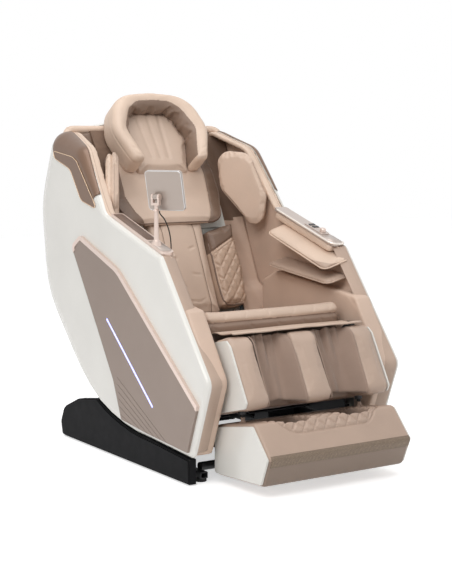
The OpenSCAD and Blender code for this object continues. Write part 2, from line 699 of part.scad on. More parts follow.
// Air cuff: two padded flaps that reach in over the forearm
flap_t = 13;
cuff_y = -150;
module flap(y0, y1, reach, drop) {
    rotate([0, drop, 0]) translate([-reach, 0, -flap_t]) linear_extrude(flap_t)
        polygon(outline([[0, y0, 24], [reach, y0, 10], [reach, y1, 10], [0, y1, 24]]));
}
module arm_cuff(side, y0) {
    color([0.86, 0.76, 0.69]) mirrored(side) {
        translate([wall_x0 - 4.8, cuff_y, arm_z(cuff_y) - 27])
            rotate([arm_slope, 0, 0]) flap(y0, 205, 92, -20);
        translate([wall_x0 - 3.6, cuff_y, arm_z(cuff_y) - 111])
            rotate([6, 0, 0]) flap(y0, 205, 88, -14);
    }
}
// Shoulder air pads: wings that lean with the back and turn to face the sitter
module shoulder_pads() {
    color([0.82, 0.7, 0.62]) for (side = [1, -1]) mirrored(side)
        union() {
            translate([wall_x0 - 70, 246, 894]) rotate([-back_lean, 0, 30]) rotate([90, 0, 90])
                translate([0, 0, -19]) linear_extrude(38)
                    polygon(outline([[-66, -60, 40], [0, -158, 36], [58, 30, 44], [24, 140, 40],
                                     [-64, 84, 44]]));
            block(wall_x0 - 58, wall_x0, 230, 262, 876, 908);
        }
}

// ---------- seat and back cushions ----------
function pan_z(y) = pan_front.y + (pan_rear.y - pan_front.y) * (y - pan_front.x)
    / (pan_rear.x - pan_front.x);
module seat_cushion() {
    color([0.76, 0.62, 0.53]) soft_slab(outline([
        [-296, pan_z(-296) + soft_gap, 14], [106, pan_z(106) + soft_gap, 14],
        [112, pan_z(106) + seat_t, 24], [-296, pan_z(-296) + seat_t, 18]]), -282, 282, 12);
}
bolster_hw = 264;
module seat_bolster() {
    color([0.8, 0.67, 0.58]) soft_slab(outline([
        [-350, pan_z(-350) + soft_gap, 12], [-299, pan_z(-299) + soft_gap, 12],
        [-299, 528, 20], [-344, 532, 26], [-362, 500, 24]]), -bolster_hw, bolster_hw, 10);
}
back_top = 666;
board_top = 740;
head_n = 37;                                 // depth of the head section behind the back's face
module back_cushion() {
    color([0.78, 0.65, 0.56]) on_back() soft_slab(outline([[0, 2, 16], [back_t, 2, 16],
        [back_t, 380, 200], [head_n + 14, 440, 200], [head_n + 14, back_top, 6.5],
        [head_n, back_top, 6.5], [head_n, 452, 90], [0, 348, 90]]), -back_w / 2, back_w / 2, 6);
}
side_pad_top = 345;
module back_side_pads() {
    color([0.72, 0.58, 0.5]) on_back() for (side = [1, -1]) mirrored(side) back_soft(outline([
        [back_w / 2 + soft_gap, 26, 14], [232, 26, 40], [246, 160, 60],
        [240, side_pad_top, 14], [back_w / 2 + soft_gap, side_pad_top, 14]]), -14, 50, 11);
}
module back_boards() {
    color([0.75, 0.76, 0.75]) on_back() for (side = [1, -1]) mirrored(side)
        union() {
            slab([[head_n, side_pad_top + soft_gap], [84, side_pad_top + soft_gap],
                  [84, board_top], [head_n + 14, board_top], [head_n, back_top]],
                 back_w / 2 + soft_gap, 236);
            back_panel(outline([[back_w / 2 + soft_gap, 34, 4], [228, 34, 30], [236, 180, 40],
                [236, 400, 4], [back_w / 2 + soft_gap, 400, 4]]), 50 + soft_gap, 84);
            block(rail_in + 3, upright_x - 2, 83, drive_n - 22, 60, 700);
        }
}
neck_gap = 0.4;
neck_t = 22;
// Pad that follows the back's face into its head section
module neck_pad() {
    a = -neck_gap;
    b = head_n - neck_gap;
    color([0.8, 0.67, 0.58]) on_back() intersection() {
        slab(outline([[a - neck_t, 346, 10], [a - 3, 346, 6], [b, 453, 100], [b, 650, 2],
                      [b - 5, 650, 2], [b - neck_t, 550, 40], [b - neck_t, 458, 80]]), -240, 240);
        back_panel(outline([[-190, 345, 70], [190, 345, 70], [236, 470, 60], [216, 651, 50],
                            [-216, 651, 50], [-236, 470, 60]]), -60, 60);
    }
}
// Open ring round the head. It leans back from its tips on the neck pad.
pillow_lean = 10;
pillow_h = 304;
module neck_pillow() {
    w = pillow_w / 2;
    color([0.86, 0.75, 0.67]) on_back()
        translate([0, head_n - neck_gap - neck_t - 3 * soft_gap, 548]) rotate([-pillow_lean, 0, 0])
            difference() {
                back_soft(outline([[48 - w, 4, 30], [w - 48, 4, 30], [w, 142, 110],
                    [w - 52, pillow_h, 116], [52 - w, pillow_h, 116], [-w, 142, 110]]),
                    -pillow_t, 0, 16);
                back_panel(outline([[-98, -40, 1], [98, -40, 1], [98, 2, 20], [132, 140, 60],
                    [96, 250, 66], [-96, 250, 66], [-132, 140, 60], [-98, 2, 20]]),
                    -pillow_t - 1, 1);
            }
}

// ---------- massage drive ----------
pinion_r = gear_m * pinion_teeth / 2;
pitch = PI * gear_m;
drive_n = 120;                               // depth of the pinion shaft behind the back's face
drive_s = 400;                               // its height along the back at rest
channel_r = 17;                              // guide wheels in the rail channels
rail_in = 186;
rack_x0 = rail_in - gear_w - 2;
drive_shaft_r = 7;
travel = travel_teeth * pitch;
// Half-width of a rack tooth at height h above the pitch line
function tooth_half(h) = pitch * 0.22 - h * tan(20);
function rack_outline(n0, s0, count) = concat(
    [[n0, s0 - pitch / 2], for (i = [0 : count - 1]) let (s = s0 + i * pitch) each [
        [drive_n - pinion_r - 5, s - tooth_half(-5)], [drive_n - pinion_r + 3.6, s - tooth_half(3.6)],
        [drive_n - pinion_r + 3.6, s + tooth_half(3.6)], [drive_n - pinion_r - 5, s + tooth_half(-5)]],
     [n0, s0 + (count - 0.5) * pitch]]);
module massage_rails() {
    count = 2 * travel_teeth + 6;
    s0 = drive_s - (travel_teeth + 2.5) * pitch;
    color([0.6, 0.61, 0.63]) on_back() for (side = [1, -1]) mirrored(side) {
        difference() {
            block(rail_in, upright_x, drive_n - 22, drive_n + 22, 30, 702);
            block(rail_in - 1, upright_x - 4, drive_n - channel_r - joint_gap,
                  drive_n + channel_r + joint_gap, 20, 760);
        }
        translate([rack_x0, 0, 0]) rotate([90, 0, 90])
            linear_extrude(rail_in - rack_x0)
                polygon(rack_outline(drive_n - pinion_r - 12, s0, count));
    }
}
// Straight-sided pinion tooth, thinned for backlash
module pinion_profile() {
    polygon([for (i = [0 : pinion_teeth - 1]) for (q = [[pinion_r - 4.6, 0.36], [pinion_r, 0.21],
        [pinion_r + 3.4, 0.1], [pinion_r + 3.4, -0.1], [pinion_r, -0.21], [pinion_r - 4.6, -0.36]])
        let (a = 360 / pinion_teeth * (i - q.y)) [q.x * cos(a), q.x * sin(a)]]);
}
module drive_shaft() {
    color([0.55, 0.56, 0.58]) on_back() translate([0, drive_n, drive_s]) union() {
        rotate([0, 90, 0]) translate([0, 0, -215]) cylinder(r = drive_shaft_r, h = 430);
        for (side = [1, -1]) mirrored(side) {
            translate([rack_x0, 0, 0]) rotate([90, 0, 90]) rotate([0, 0, 180])
                linear_extrude(gear_w) pinion_profile();
            translate([rail_in + 6, 0, 0]) rotate([0, 90, 0]) cylinder(r = channel_r, h = 24);
        }
    }
}
knead_n = 138;
knead_s = drive_s - 62;
knead_roller = [drive_n - 45, drive_s + 20];
module massage_carriage() {
    color([0.2, 0.21, 0.23]) on_back() difference() {
        union() {
            for (side = [1, -1]) mirrored(side) {
                translate([150, 0, 0]) rotate([90, 0, 90]) linear_extrude(8)
                    polygon(outline([[88, drive_s - 90, 8], [170, drive_s - 90, 8],
                                     [170, drive_s + 70, 8], [104, drive_s + 70, 8]]));
                translate([100, 148, drive_s + 20]) cube([30, 40, 45]);
            }
            for (q = [[160, drive_s + 55], [160, drive_s - 78]])
                translate([-151, q.x, q.y]) rotate([0, 90, 0]) cylinder(r = 7, h = 302);
            translate([-151, knead_n, knead_s]) rotate([0, 90, 0]) cylinder(r = 8, h = 302);
            translate([-40, 148, drive_s - 30]) cube([80, 44, 60]);
            translate([-152, 158, drive_s - 8]) cube([304, 8, 16]);
        }
        translate([-170, drive_n, drive_s]) rotate([0, 90, 0])
            cylinder(r = drive_shaft_r + run_gap, h = 340);
    }
}
arm_in = 62;
module kneading_arm(side) {
    color([0.42, 0.43, 0.45]) mirrored(side) on_back() difference() {
        union() {
            translate([arm_in, knead_n, knead_s]) rotate([0, 90, 0]) cylinder(r = 14, h = 16);
            translate([arm_in, 0, 0]) rotate([90, 0, 90]) linear_extrude(12) hull() {
                translate([knead_n, knead_s]) circle(r = 10, $fn = 24);
                translate([knead_n - 42, knead_s + 26]) circle(r = 9, $fn = 24);
            }
            translate([arm_in, 0, 0]) rotate([90, 0, 90]) linear_extrude(12) hull() {
                translate([knead_n - 42, knead_s + 26]) circle(r = 9, $fn = 24);
                translate([knead_roller.x, knead_roller.y]) circle(r = 8, $fn = 24);
            }
            translate([arm_in, knead_roller.x, knead_roller.y]) rotate([0, 90, 0])
                cylinder(r = 5, h = 46);
            translate([arm_in + 43, knead_roller.x, knead_roller.y]) rotate([0, 90, 0])
                cylinder(r = 8, h = 3);
        }
        translate([arm_in - 1, knead_n, knead_s]) rotate([0, 90, 0])
            cylinder(r = 8 + run_gap, h = 18);
    }
}
module kneading_roller(side) {
    color([0.85, 0.83, 0.78]) mirrored(side) on_back()
        translate([arm_in + 13, knead_roller.x, knead_roller.y]) rotate([0, 90, 0]) rotate_extrude()
            polygon([[5 + run_gap, 0], [12, 0], [knead_r - 2, 6], [knead_r, 13],
                     [knead_r - 2, 22], [12, 28], [5 + run_gap, 28]]);
}
module air_pump() {
    color([0.15, 0.15, 0.16]) union() {
        block(60, 200, -170, -40, 392 - 82, 330);
        for (x = [80, 180]) block(x - 8, x + 8, -130, -80, 330, pan_z(-80) - pan_t - 1);
        bar(-105, 330, 24, 70, 190);
    }
}
module control_box() {
    color([0.2, 0.22, 0.2]) union() {
        block(-210, -70, -170, -30, 300, 345);
        for (x = [-190, -90]) block(x - 8, x + 8, -130, -80, 345, pan_z(-80) - pan_t - 1);
    }
}

// ---------- calf unit ----------
calf_hw = calf_w / 2;
channel_x = 46;                              // half-width of the middle calf pad
function calf_outline(d) = outline([[-414 - d, 453 - d, 9], [-488, 468 - d, 10],
    [-514 + d * 0.7, 450 - d * 0.3, 26], [-607 + d, 284, 16], [-596 + d, 258 + d, 18],
    [-424 - d, 213 + d, 10]]);
crank = [-326, 340];
slide_lean = 15;
slide_dir = [-sin(slide_lean), -cos(slide_lean)];
tube_top = [-452, 412];
tube_x = 230;
module along_slide(x) {
    translate([x, tube_top.x, tube_top.y]) rotate([180 - slide_lean, 0, 0]) children();
}
slide_tube_r = 12;
slide_rod_r = 8;
slide_tube_h = 192;
module calf_frame() {
    color([0.3, 0.31, 0.33]) difference() {
        union() {
            for (side = [1, -1]) mirrored(side) {
                slab(outline([[-404, 446, 10], [-372, 430, 10], [-370, 462, 12], [-392, 468, 10],
                              [-404, 462, 6]]), 274, 280);
                slab([[-404, 462], [-411, 440], [-411, 300], [-398, 300], [-385, 440]], 274, 280);
            }
            for (side = [1, -1]) mirrored(side)
                slab([[-424, 320], [-398, 320], [crank.x + 14, crank.y - 8],
                      [crank.x + 12, crank.y + 12], [-398, 400], [-424, 400]], 13, 19);
            for (z = [384, 303]) {
                block(-280, 280, -411, -398, z, z + 16);
                block(-268, 268, -422, -410, z, z + 16);
            }
            for (side = [1, -1]) mirrored(side) {
                along_slide(tube_x) cylinder(r = slide_tube_r, h = slide_tube_h);
                block(tube_x - 10, tube_x + 10, -460, -416, 386, 398);
                block(tube_x - 10, tube_x + 10, -484, -416, 304, 318);
            }
        }
        for (side = [1, -1]) mirrored(side) {
            bar(leg_pivot.x, leg_pivot.y, leg_pin_r + run_gap, 273, 281);
            bar(crank.x, crank.y, pin_r, 12, 20);
            along_slide(tube_x) translate([0, 0, -1])
                cylinder(r = slide_rod_r + run_gap, h = slide_tube_h + 2);
        }
    }
}
module calf_pad() {
    p = calf_outline(1);
    fx = calf_hw - plate_t;
    color([0.77, 0.64, 0.55]) difference() {
        soft_slab(p, -fx, fx, 7);
        for (side = [1, -1]) mirrored(side) {
            block(channel_x, channel_x + channel_w, -640, -590 + channel_d, 200, 480);
            slab([[-640, 200], [-500, 200], [-405, 480], [-640, 480]], channel_x,
                 channel_x + channel_w);
            block(channel_x - 60, fx + 1, -422.3, -380, 290, 412);
            along_slide(tube_x) translate([0, 0, -30]) cylinder(r = slide_tube_r + 4, h = 300);
            block(tube_x - 16, tube_x + 16, -490, -400, 296, 412);
        }
        block(-24, 24, -440, -380, 200, 470);
    }
}
module calf_plates() {
    color([0.93, 0.93, 0.91]) for (side = [1, -1]) mirrored(side) union() {
        slab(inset(calf_outline(0), 7), calf_hw - plate_t, calf_hw - 2);
        slab(inset(calf_outline(0), 8.5), calf_hw - 3, calf_hw);
    }
}

// ---------- foot unit ----------
foot_hw = foot_w / 2;
function foot_outline(d) = outline([[-412 - d, 186 - d, 14], [-630, 226 - d, 18],
    [-718 + d, 130, 18], [-680 + d, 38 + d, 18], [-412 - d, 24 + d, 18]]);
well_x = 120;
module foot_housing() {
    p = foot_outline(1);
    fx = foot_hw - plate_t;
    color([0.74, 0.6, 0.51]) difference() {
        union() {
            soft_slab(p, -fx, fx, 8);
            for (side = [1, -1]) mirrored(side) along_slide(tube_x) translate([0, 0, 3])
                cylinder(r = slide_rod_r, h = 250);
        }
        for (side = [1, -1]) mirrored(side) well(0);
        bar(sole.x, sole.y, 4 + run_gap, -fx + 8, fx - 8);
        for (side = [1, -1]) mirrored(side)
            block(well_x - 62, well_x + 62, sole.x - 24, sole.x + 24, sole.y - 24, sole.y + 40);
    }
}
sole = [-520, 78];
// Foot well: a long round-ended pocket, open at the top
module well(grow) {
    translate([well_x, -532, 0]) rotate([8, 0, 0]) translate([0, 0, 204 - well_d])
        linear_extrude(well_d + 80) polygon(outline([[-72 - grow, -70, 44], [72 + grow, -70, 44],
            [72 + grow, 96, 30], [-72 - grow, 96, 30]]));
}
module foot_plates() {
    color([0.93, 0.93, 0.91]) for (side = [1, -1]) mirrored(side) union() {
        slab(inset(foot_outline(0), 8), foot_hw - plate_t, foot_hw - 2);
        slab(inset(foot_outline(0), 9.5), foot_hw - 3, foot_hw);
    }
}
// Knobbed reflexology rollers under the soles, on one shaft
module foot_rollers() {
    color([0.85, 0.83, 0.78]) union() {
        bar(sole.x, sole.y, 4, -foot_hw + plate_t + 10, foot_hw - plate_t - 10);
        for (side = [1, -1]) mirrored(side) for (k = [0 : 3])
            translate([well_x - 58 + k * 30, sole.x, sole.y]) rotate([0, 90, 0]) rotate_extrude()
                polygon([[0, 0], [14, 0], [20, 8], [20, 16], [14, 24], [0, 24]]);
    }
}
leg_angle = atan2(crank.y - leg_act_pin.y, leg_act_pin.x - crank.x);
leg_len = norm(crank - leg_act_pin);
module along_leg() {
    translate([0, leg_act_pin.x, leg_act_pin.y]) rotate([90 - leg_angle, 0, 0]) children();
}
leg_rod_r = 8;
module leg_actuator_tube() {
    color([0.12, 0.12, 0.13]) along_leg() difference() {
        union() {
            rotate([0, 90, 0]) translate([0, 0, -12]) cylinder(r = 13, h = 24);
            cylinder(r = 11, h = 22);
            translate([0, 0, 18]) cylinder(r = 16, h = 222);
            translate([-14, 8, 20]) cube([28, 36, 70]);
        }
        rotate([0, 90, 0]) translate([0, 0, -13]) cylinder(r = pin_r + run_gap, h = 26);
        translate([0, 0, 40]) cylinder(r = leg_rod_r + run_gap, h = 201);
    }
}
module leg_actuator_rod() {
    color([0.75, 0.76, 0.78]) along_leg() union() {
        translate([0, 0, 44]) cylinder(r = leg_rod_r, h = leg_len - 44 - 8);
        translate([0, 0, leg_len]) rotate([0, 90, 0]) translate([0, 0, -11])
            cylinder(r = 12, h = 22);
    }
}

// ---------- tablet ----------
tablet_turn = 60;                            // the screen turns in towards the sitter
knuckle_z = 24;
module at_pole() {
    translate([pole_xy.x, pole_xy.y, collar_z + joint_gap]) rotate([0, 0, -tablet_turn]) children();
}
module tablet_pole() {
    color([0.8, 0.66, 0.6]) at_pole() difference() {
        union() {
            translate([0, 0, -18]) cylinder(r = pole_pin_r, h = 20);
            cylinder(r1 = 13, r2 = 9, h = 6);
            translate([0, 0, 6]) cylinder(r1 = 8.5, r2 = 6, h = pole_h - 6);
            translate([0, 0, 98]) cylinder(r1 = 13, r2 = 6.5, h = 6);
            translate([-9, -9, pole_h - 2]) cube([18, 14, 8]);
            for (x = [-14, 8]) translate([x, 0, pole_h + knuckle_z]) rotate([0, 90, 0])
                cylinder(r = 11, h = 6);
            for (x = [-14, 8]) translate([x, -9, pole_h - 2]) cube([6, 14, knuckle_z]);
            translate([-14, 0, pole_h + knuckle_z]) rotate([0, 90, 0]) cylinder(r = 4, h = 28);
        }
    }
}
module tablet() {
    z = pole_h + knuckle_z;
    color([0.7, 0.62, 0.58]) at_pole() difference() {
        union() {
            translate([-7.6, 0, z]) rotate([0, 90, 0]) cylinder(r = 10, h = 15.2);
            translate([-7.6, 0, z - 8]) cube([15.2, 18, 16]);
            translate([25, 10, z + 20]) rotate([14, 0, 0]) translate([-tablet_w / 2, 0, -tablet_w / 2])
                translate([0, tablet_t, 0]) rotate([90, 0, 0]) linear_extrude(tablet_t)
                    polygon(outline([[0, 0, 10], [tablet_w, 0, 10], [tablet_w, tablet_w, 10],
                                     [0, tablet_w, 10]]));
        }
        translate([-9, 0, z]) rotate([0, 90, 0]) cylinder(r = 4 + run_gap, h = 18);
    }
}

// Thin lead from the arm lining up to the tablet's pole
cable_r = 2;
cable_path = [[-298, -110, 552], [-292, -110, 553], [-285, -112, 559], [-279, -116, 570],
    [-274, -122, 587], [-272, -128, 606], [-272, -138, 633], [-275, -148, 660], [-279, -160, 687],
    [-285, -171, 713], [-292, -182, 738], [-300, -191, 762], [-309, -197, 785],
    [-319, -200, 806], [-328, -198, 823], [-334, -191, 833],
    [-337, -187, 840], [-337, -186, 845.6]];
module tablet_cable() {
    n = len(cable_path);
    color([0.05, 0.05, 0.05]) loft([for (i = [0 : n - 1])
        let (d = unit(cable_path[min(n - 1, i + 1)] - cable_path[max(0, i - 1)]),
             u = unit(cross(d, [0, 1, 0])), w = cross(d, u))
        [for (k = [0 : 7]) cable_path[i] + cable_r * (cos(45 * k) * u + sin(45 * k) * w)]]);
}

base_frame();
base_skirt(-1);  // base_skirt_right
base_skirt(1);  // base_skirt_left
base_rear_cover();
floor_pads();
power_inlet();
power_switch();
transport_wheels();
front_rollers();
rear_rollers();
tilt_actuator_tube();
tilt_actuator_rod();
seat_frame();
belly_cover();
side_shell(-1);  // side_shell_right
side_shell(1);  // side_shell_left
side_inserts();
insert_trims();
light_bars();
hood_inserts();
hood_rim();
hood_shell();
arm_lining(-1);  // arm_lining_right
arm_lining(1);  // arm_lining_left
speakers();
arm_rest_right();
arm_rest_left();
control_knob();
control_button_front();
control_button_rear();
arm_cuff(-1, 36);  // arm_cuff_right
arm_cuff(1, -150);  // arm_cuff_left
shoulder_pads();
seat_cushion();
seat_bolster();
back_cushion();
back_side_pads();
back_boards();
neck_pad();
neck_pillow();
massage_rails();
drive_shaft();
massage_carriage();
kneading_arm(-1);  // kneading_arm_right
kneading_arm(1);  // kneading_arm_left
kneading_roller(-1);  // kneading_roller_right
kneading_roller(1);  // kneading_roller_left
air_pump();
control_box();
leg_actuator_tube();
leg_actuator_rod();
calf_frame();
calf_pad();
calf_plates();
foot_housing();
foot_plates();
foot_rollers();
tablet_pole();
tablet();
tablet_cable();
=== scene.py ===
"""Looks of the massage chair, in metres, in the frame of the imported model.

Outlines and paths are in millimetres, in the plane that each is drawn on."""
from math import acos, atan2, ceil, cos, degrees, pi, radians, sin, sqrt, tan

import bmesh
import bpy
import numpy as np
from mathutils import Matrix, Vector
from mathutils.bvhtree import BVHTree


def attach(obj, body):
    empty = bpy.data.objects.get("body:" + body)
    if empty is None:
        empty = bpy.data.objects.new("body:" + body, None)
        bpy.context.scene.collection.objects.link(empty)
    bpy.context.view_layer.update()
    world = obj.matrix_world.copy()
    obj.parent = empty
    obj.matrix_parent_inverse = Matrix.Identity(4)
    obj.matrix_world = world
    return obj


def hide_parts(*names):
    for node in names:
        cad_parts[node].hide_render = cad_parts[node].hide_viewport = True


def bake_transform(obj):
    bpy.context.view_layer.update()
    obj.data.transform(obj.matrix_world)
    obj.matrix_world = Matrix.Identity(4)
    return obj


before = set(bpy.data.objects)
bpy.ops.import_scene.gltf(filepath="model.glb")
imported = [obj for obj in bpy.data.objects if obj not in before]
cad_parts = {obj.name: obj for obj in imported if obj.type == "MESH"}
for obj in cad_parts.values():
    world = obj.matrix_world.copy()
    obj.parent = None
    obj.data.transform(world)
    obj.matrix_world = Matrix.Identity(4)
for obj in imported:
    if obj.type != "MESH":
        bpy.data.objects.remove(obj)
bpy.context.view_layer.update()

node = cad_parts
scene = bpy.context.scene
scene.view_settings.view_transform = "Standard"
SIDES = ((1, "left"), (-1, "right"))


# ----- local frames and outlines -----
def unit(v):
    v = np.asarray(v, float)
    return v / np.linalg.norm(v)


class Plane:
    """A local frame in mm: u across, v up the face, w out of it. out() gives metres."""

    def __init__(self, o, u, v):
        self.o = np.asarray(o, float)
        self.m = np.array([unit(u), unit(v), unit(np.cross(u, v))])

    def out(self, p):
        return (self.o + np.asarray(p, float) @ self.m) / 1000

    def lift(self, outline, w):
        """The outline at height w."""
        return self.out(np.c_[outline, np.full(len(outline), w)])

    def into(self, p):
        return (np.asarray(p, float) * 1000 - self.o) @ self.m.T


def turned(ax, ay, az):
    """Rotation matrix of rotate([ax, ay, az])."""
    a, b, c = radians(ax), radians(ay), radians(az)
    rx = np.array([[1, 0, 0], [0, cos(a), -sin(a)], [0, sin(a), cos(a)]])
    ry = np.array([[cos(b), 0, sin(b)], [0, 1, 0], [-sin(b), 0, cos(b)]])
    rz = np.array([[cos(c), -sin(c), 0], [sin(c), cos(c), 0], [0, 0, 1]])
    return rz @ ry @ rx


LEAN = radians(24)
PILLOW_LEAN = radians(34)
BACK = Plane((0, 125, 445), (1, 0, 0), (0, sin(LEAN), cos(LEAN)))
HEAD = Plane(BACK.out((0, 548, -13.4)) * 1000, (1, 0, 0), (0, sin(PILLOW_LEAN), cos(PILLOW_LEAN)))
SLOPE = atan2(822 - 706, 112 + 255)
ARM = Plane((0, -255, 706), (1, 0, 0), (0, cos(SLOPE), sin(SLOPE)))
FLAT = Plane((0, 0, 0), (1, 0, 0), (0, 1, 0))
FRONT = Plane((0, 0, 0), (1, 0, 0), (0, 0, 1))
ARC_STEP = 9  # degrees to each side of a rounded corner


def rounded(corners):
    """Closed outline from corners (u, v, radius)."""
    made = []
    for i, (x, y, r) in enumerate(corners):
        a = np.array(corners[i - 1][:2], float)
        b = np.array(corners[(i + 1) % len(corners)][:2], float)
        q = np.array([x, y], float)
        if r <= 0:
            made.append(q)
            continue
        s, e = unit(a - q), unit(b - q)
        half = acos(np.clip(s @ e, -1, 1)) / 2
        turn, k = pi - 2 * half, q + unit(s + e) * r / sin(half)
        p0, p1 = q + s * r / tan(half) - k, q + e * r / tan(half) - k
        n = max(2, ceil(degrees(turn) / ARC_STEP))
        for j in range(n + 1):
            t = j / n
            made.append(k + (sin((1 - t) * turn) * p0 + sin(t * turn) * p1) / sin(turn))
    return np.array(made)


def inset(p, d):
    """The closed counterclockwise outline moved inwards by d."""
    e = np.roll(p, -1, 0) - np.roll(p, 1, 0)
    n = np.stack([e[:, 1], -e[:, 0]], 1)
    return p - n / np.linalg.norm(n, axis=1)[:, None] * d


def run_of(p):
    """Distance along the path at each of its points."""
    return np.r_[0, np.cumsum(np.linalg.norm(np.diff(p, axis=0), axis=1))]


def resample(p, step, closed=False):
    p = np.asarray(p, float)
    if closed:
        p = np.vstack([p, p[:1]])
    d = run_of(p)
    n = max(2, int(round(d[-1] / step)) + 1)
    t = np.linspace(0, d[-1], n)
    made = np.stack([np.interp(t, d, p[:, k]) for k in range(p.shape[1])], 1)
    return made[:-1] if closed else made


def curve_through(p, step):
    """Smooth line through a few points (Catmull-Rom), resampled."""
    p = np.asarray(p, float)
    q = np.vstack([2 * p[0] - p[1], p, 2 * p[-1] - p[-2]])
    made = []
    for i in range(1, len(q) - 2):
        for t in np.linspace(0, 1, 12, endpoint=False):
            a, b, c, d = q[i - 1], q[i], q[i + 1], q[i + 2]
            made.append(0.5 * (2 * b + (c - a) * t + (2 * a - 5 * b + 4 * c - d) * t ** 2
                               + (3 * b - a - 3 * c + d) * t ** 3))
    made.append(q[-2])
    return resample(made, step)


def line_distance(p, line):
    """Distance of each row of p to the polyline, in 2D or 3D."""
    best = np.full(len(p), np.inf)
    for a, b in zip(line[:-1], line[1:]):
        d = b - a
        t = np.clip(((p - a) @ d) / max(d @ d, 1e-12), 0, 1)
        best = np.minimum(best, np.linalg.norm(p - a - t[:, None] * d, axis=1))
    return best


def rim_distance(p, outline):
    """Distance of each row of p to the closed outline."""
    return line_distance(p, np.vstack([outline, outline[:1]]))


def inside(p, poly):
    """True for each row of p inside the closed outline."""
    hit = np.zeros(len(p), bool)
    x, y = p[:, 0], p[:, 1]
    for a, b in zip(poly, np.roll(poly, -1, 0)):
        cross = (a[1] > y) != (b[1] > y)
        with np.errstate(divide="ignore", invalid="ignore"):
            hit ^= cross & (x < (b[0] - a[0]) * (y - a[1]) / (b[1] - a[1]) + a[0])
    return hit


def smoothstep(t):
    t = np.clip(t, 0, 1)
    return t * t * (3 - 2 * t)


# ----- meshes -----
def linked(name, data):
    ob = bpy.data.objects.new(name, data)
    scene.collection.objects.link(ob)
    return ob


def mesh_object(name, verts, faces):
    me = bpy.data.meshes.new(name)
    me.from_pydata([tuple(v) for v in verts], [], [tuple(int(i) for i in f) for f in faces])
    me.validate()
    me.polygons.foreach_set("use_smooth", [True] * len(me.polygons))
    return linked(name, me)


def prism(name, plane, outline, w0, w1):
    n = len(outline)
    faces = [list(range(n))[::-1], list(range(n, 2 * n))]
    faces += [[i, (i + 1) % n, n + (i + 1) % n, n + i] for i in range(n)]
    return mesh_object(name, np.vstack([plane.lift(outline, w0), plane.lift(outline, w1)]), faces)


def cad_copy(name, node_name):
    me = node[node_name].data.copy()
    me.name = name
    me.materials.clear()
    return linked(name, me)


def rows_of(items, key):
    """A vector property of all vertices or faces, one row each."""
    v = np.zeros(len(items) * 3)
    items.foreach_get(key, v)
    return v.reshape(-1, 3)


def points(ob):
    return rows_of(ob.data.vertices, "co")


def normals(ob):
    ob.data.update()
    return rows_of(ob.data.vertices, "normal")


def mirrored(ob):
    """The right twin of a left piece."""
    name = ob.name.replace("_left", "_right")
    me = ob.data.copy()
    me.name = name
    co = points(ob)
    co[:, 0] *= -1
    me.vertices.foreach_set("co", co.ravel())
    me.flip_normals()
    return linked(name, me)


def twins(ob):
    return ob, mirrored(ob)


def move_points(ob, co):
    ob.data.vertices.foreach_set("co", np.asarray(co).ravel())
    ob.data.update()


def baked(ob):
    """Applies the object's modifiers."""
    dg = bpy.context.evaluated_depsgraph_get()
    me = bpy.data.meshes.new_from_object(ob.evaluated_get(dg))
    ob.modifiers.clear()
    old, ob.data = ob.data, me
    bpy.data.meshes.remove(old)
    me.polygons.foreach_set("use_smooth", [True] * len(me.polygons))
    return ob


def remesh(ob, voxel):
    m = ob.modifiers.new("remesh", "REMESH")
    m.mode = "VOXEL"
    m.voxel_size = voxel / 1000
    return baked(ob)


def relax(ob, times, factor=0.5):
    m = ob.modifiers.new("relax", "SMOOTH")
    m.factor, m.iterations = factor, times
    return baked(ob)


def finer(ob):
    m = ob.modifiers.new("finer", "SUBSURF")
    m.levels = m.render_levels = 1
    return baked(ob)


PRESSURE, FRAMES, HOLD_STEPS = 4.0, 20, 5


def puff(jobs):
    """Cloth: closed meshes swell under pressure. jobs: (object, cap in mm, hold(co) -> 0..1)."""
    rest = {}
    for ob, _, hold in jobs:
        rest[ob.name] = points(ob)
        c = ob.modifiers.new("cloth", "CLOTH")
        s = c.settings
        s.quality, s.mass = 4, 0.3
        s.tension_stiffness = s.compression_stiffness = 12
        s.shear_stiffness, s.bending_stiffness = 4, 0.4
        s.use_pressure, s.uniform_pressure_force = True, PRESSURE
        s.effector_weights.gravity = 0
        c.collision_settings.use_collision = False
        c.collision_settings.use_self_collision = False
        if hold is not None:
            g = ob.vertex_groups.new(name="pin")
            w = np.clip(hold(rest[ob.name]), 0, 1)
            for k in range(1, HOLD_STEPS + 1):
                near = np.nonzero(np.abs(w * HOLD_STEPS - k) < 0.5)[0]
                g.add([int(i) for i in near], k / HOLD_STEPS, "REPLACE")
            s.vertex_group_mass = "pin"
        c.point_cache.frame_start, c.point_cache.frame_end = 1, FRAMES
    for f in range(1, FRAMES + 1):
        scene.frame_set(f)
    dg = bpy.context.evaluated_depsgraph_get()
    for ob, cap, _ in jobs:
        d = rows_of(ob.evaluated_get(dg).data.vertices, "co") - rest[ob.name]
        far = np.linalg.norm(d, axis=1)
        d *= (np.minimum(far, cap / 1000) / np.maximum(far, 1e-9))[:, None]
        ob.modifiers.clear()
        move_points(ob, rest[ob.name] + d)
        relax(ob, 2, 0.4)
    scene.frame_set(1)


def roll(ob, plane, outline, r, top):
    """Rounds the edge of the face at w = top into a roll of radius r."""
    q = plane.into(points(ob))
    d = rim_distance(q[:, :2], outline) * inside(q[:, :2], outline)
    limit = top - r * (1 - np.sqrt(1 - (1 - np.clip(d / r, 0, 1)) ** 2))
    q[:, 2] = np.minimum(q[:, 2], limit)
    move_points(ob, plane.out(q))


TURN = 0.3  # how gently sewn work fades where the surface turns away from the plane


def in_plane(ob, plane):
    """Points and normals, in metres and in the plane's own frame."""
    co, n = points(ob), normals(ob)
    return co, n, plane.into(co), n @ plane.m.T


def sink(ob, co, n, k):
    move_points(ob, co - n * k[:, None])


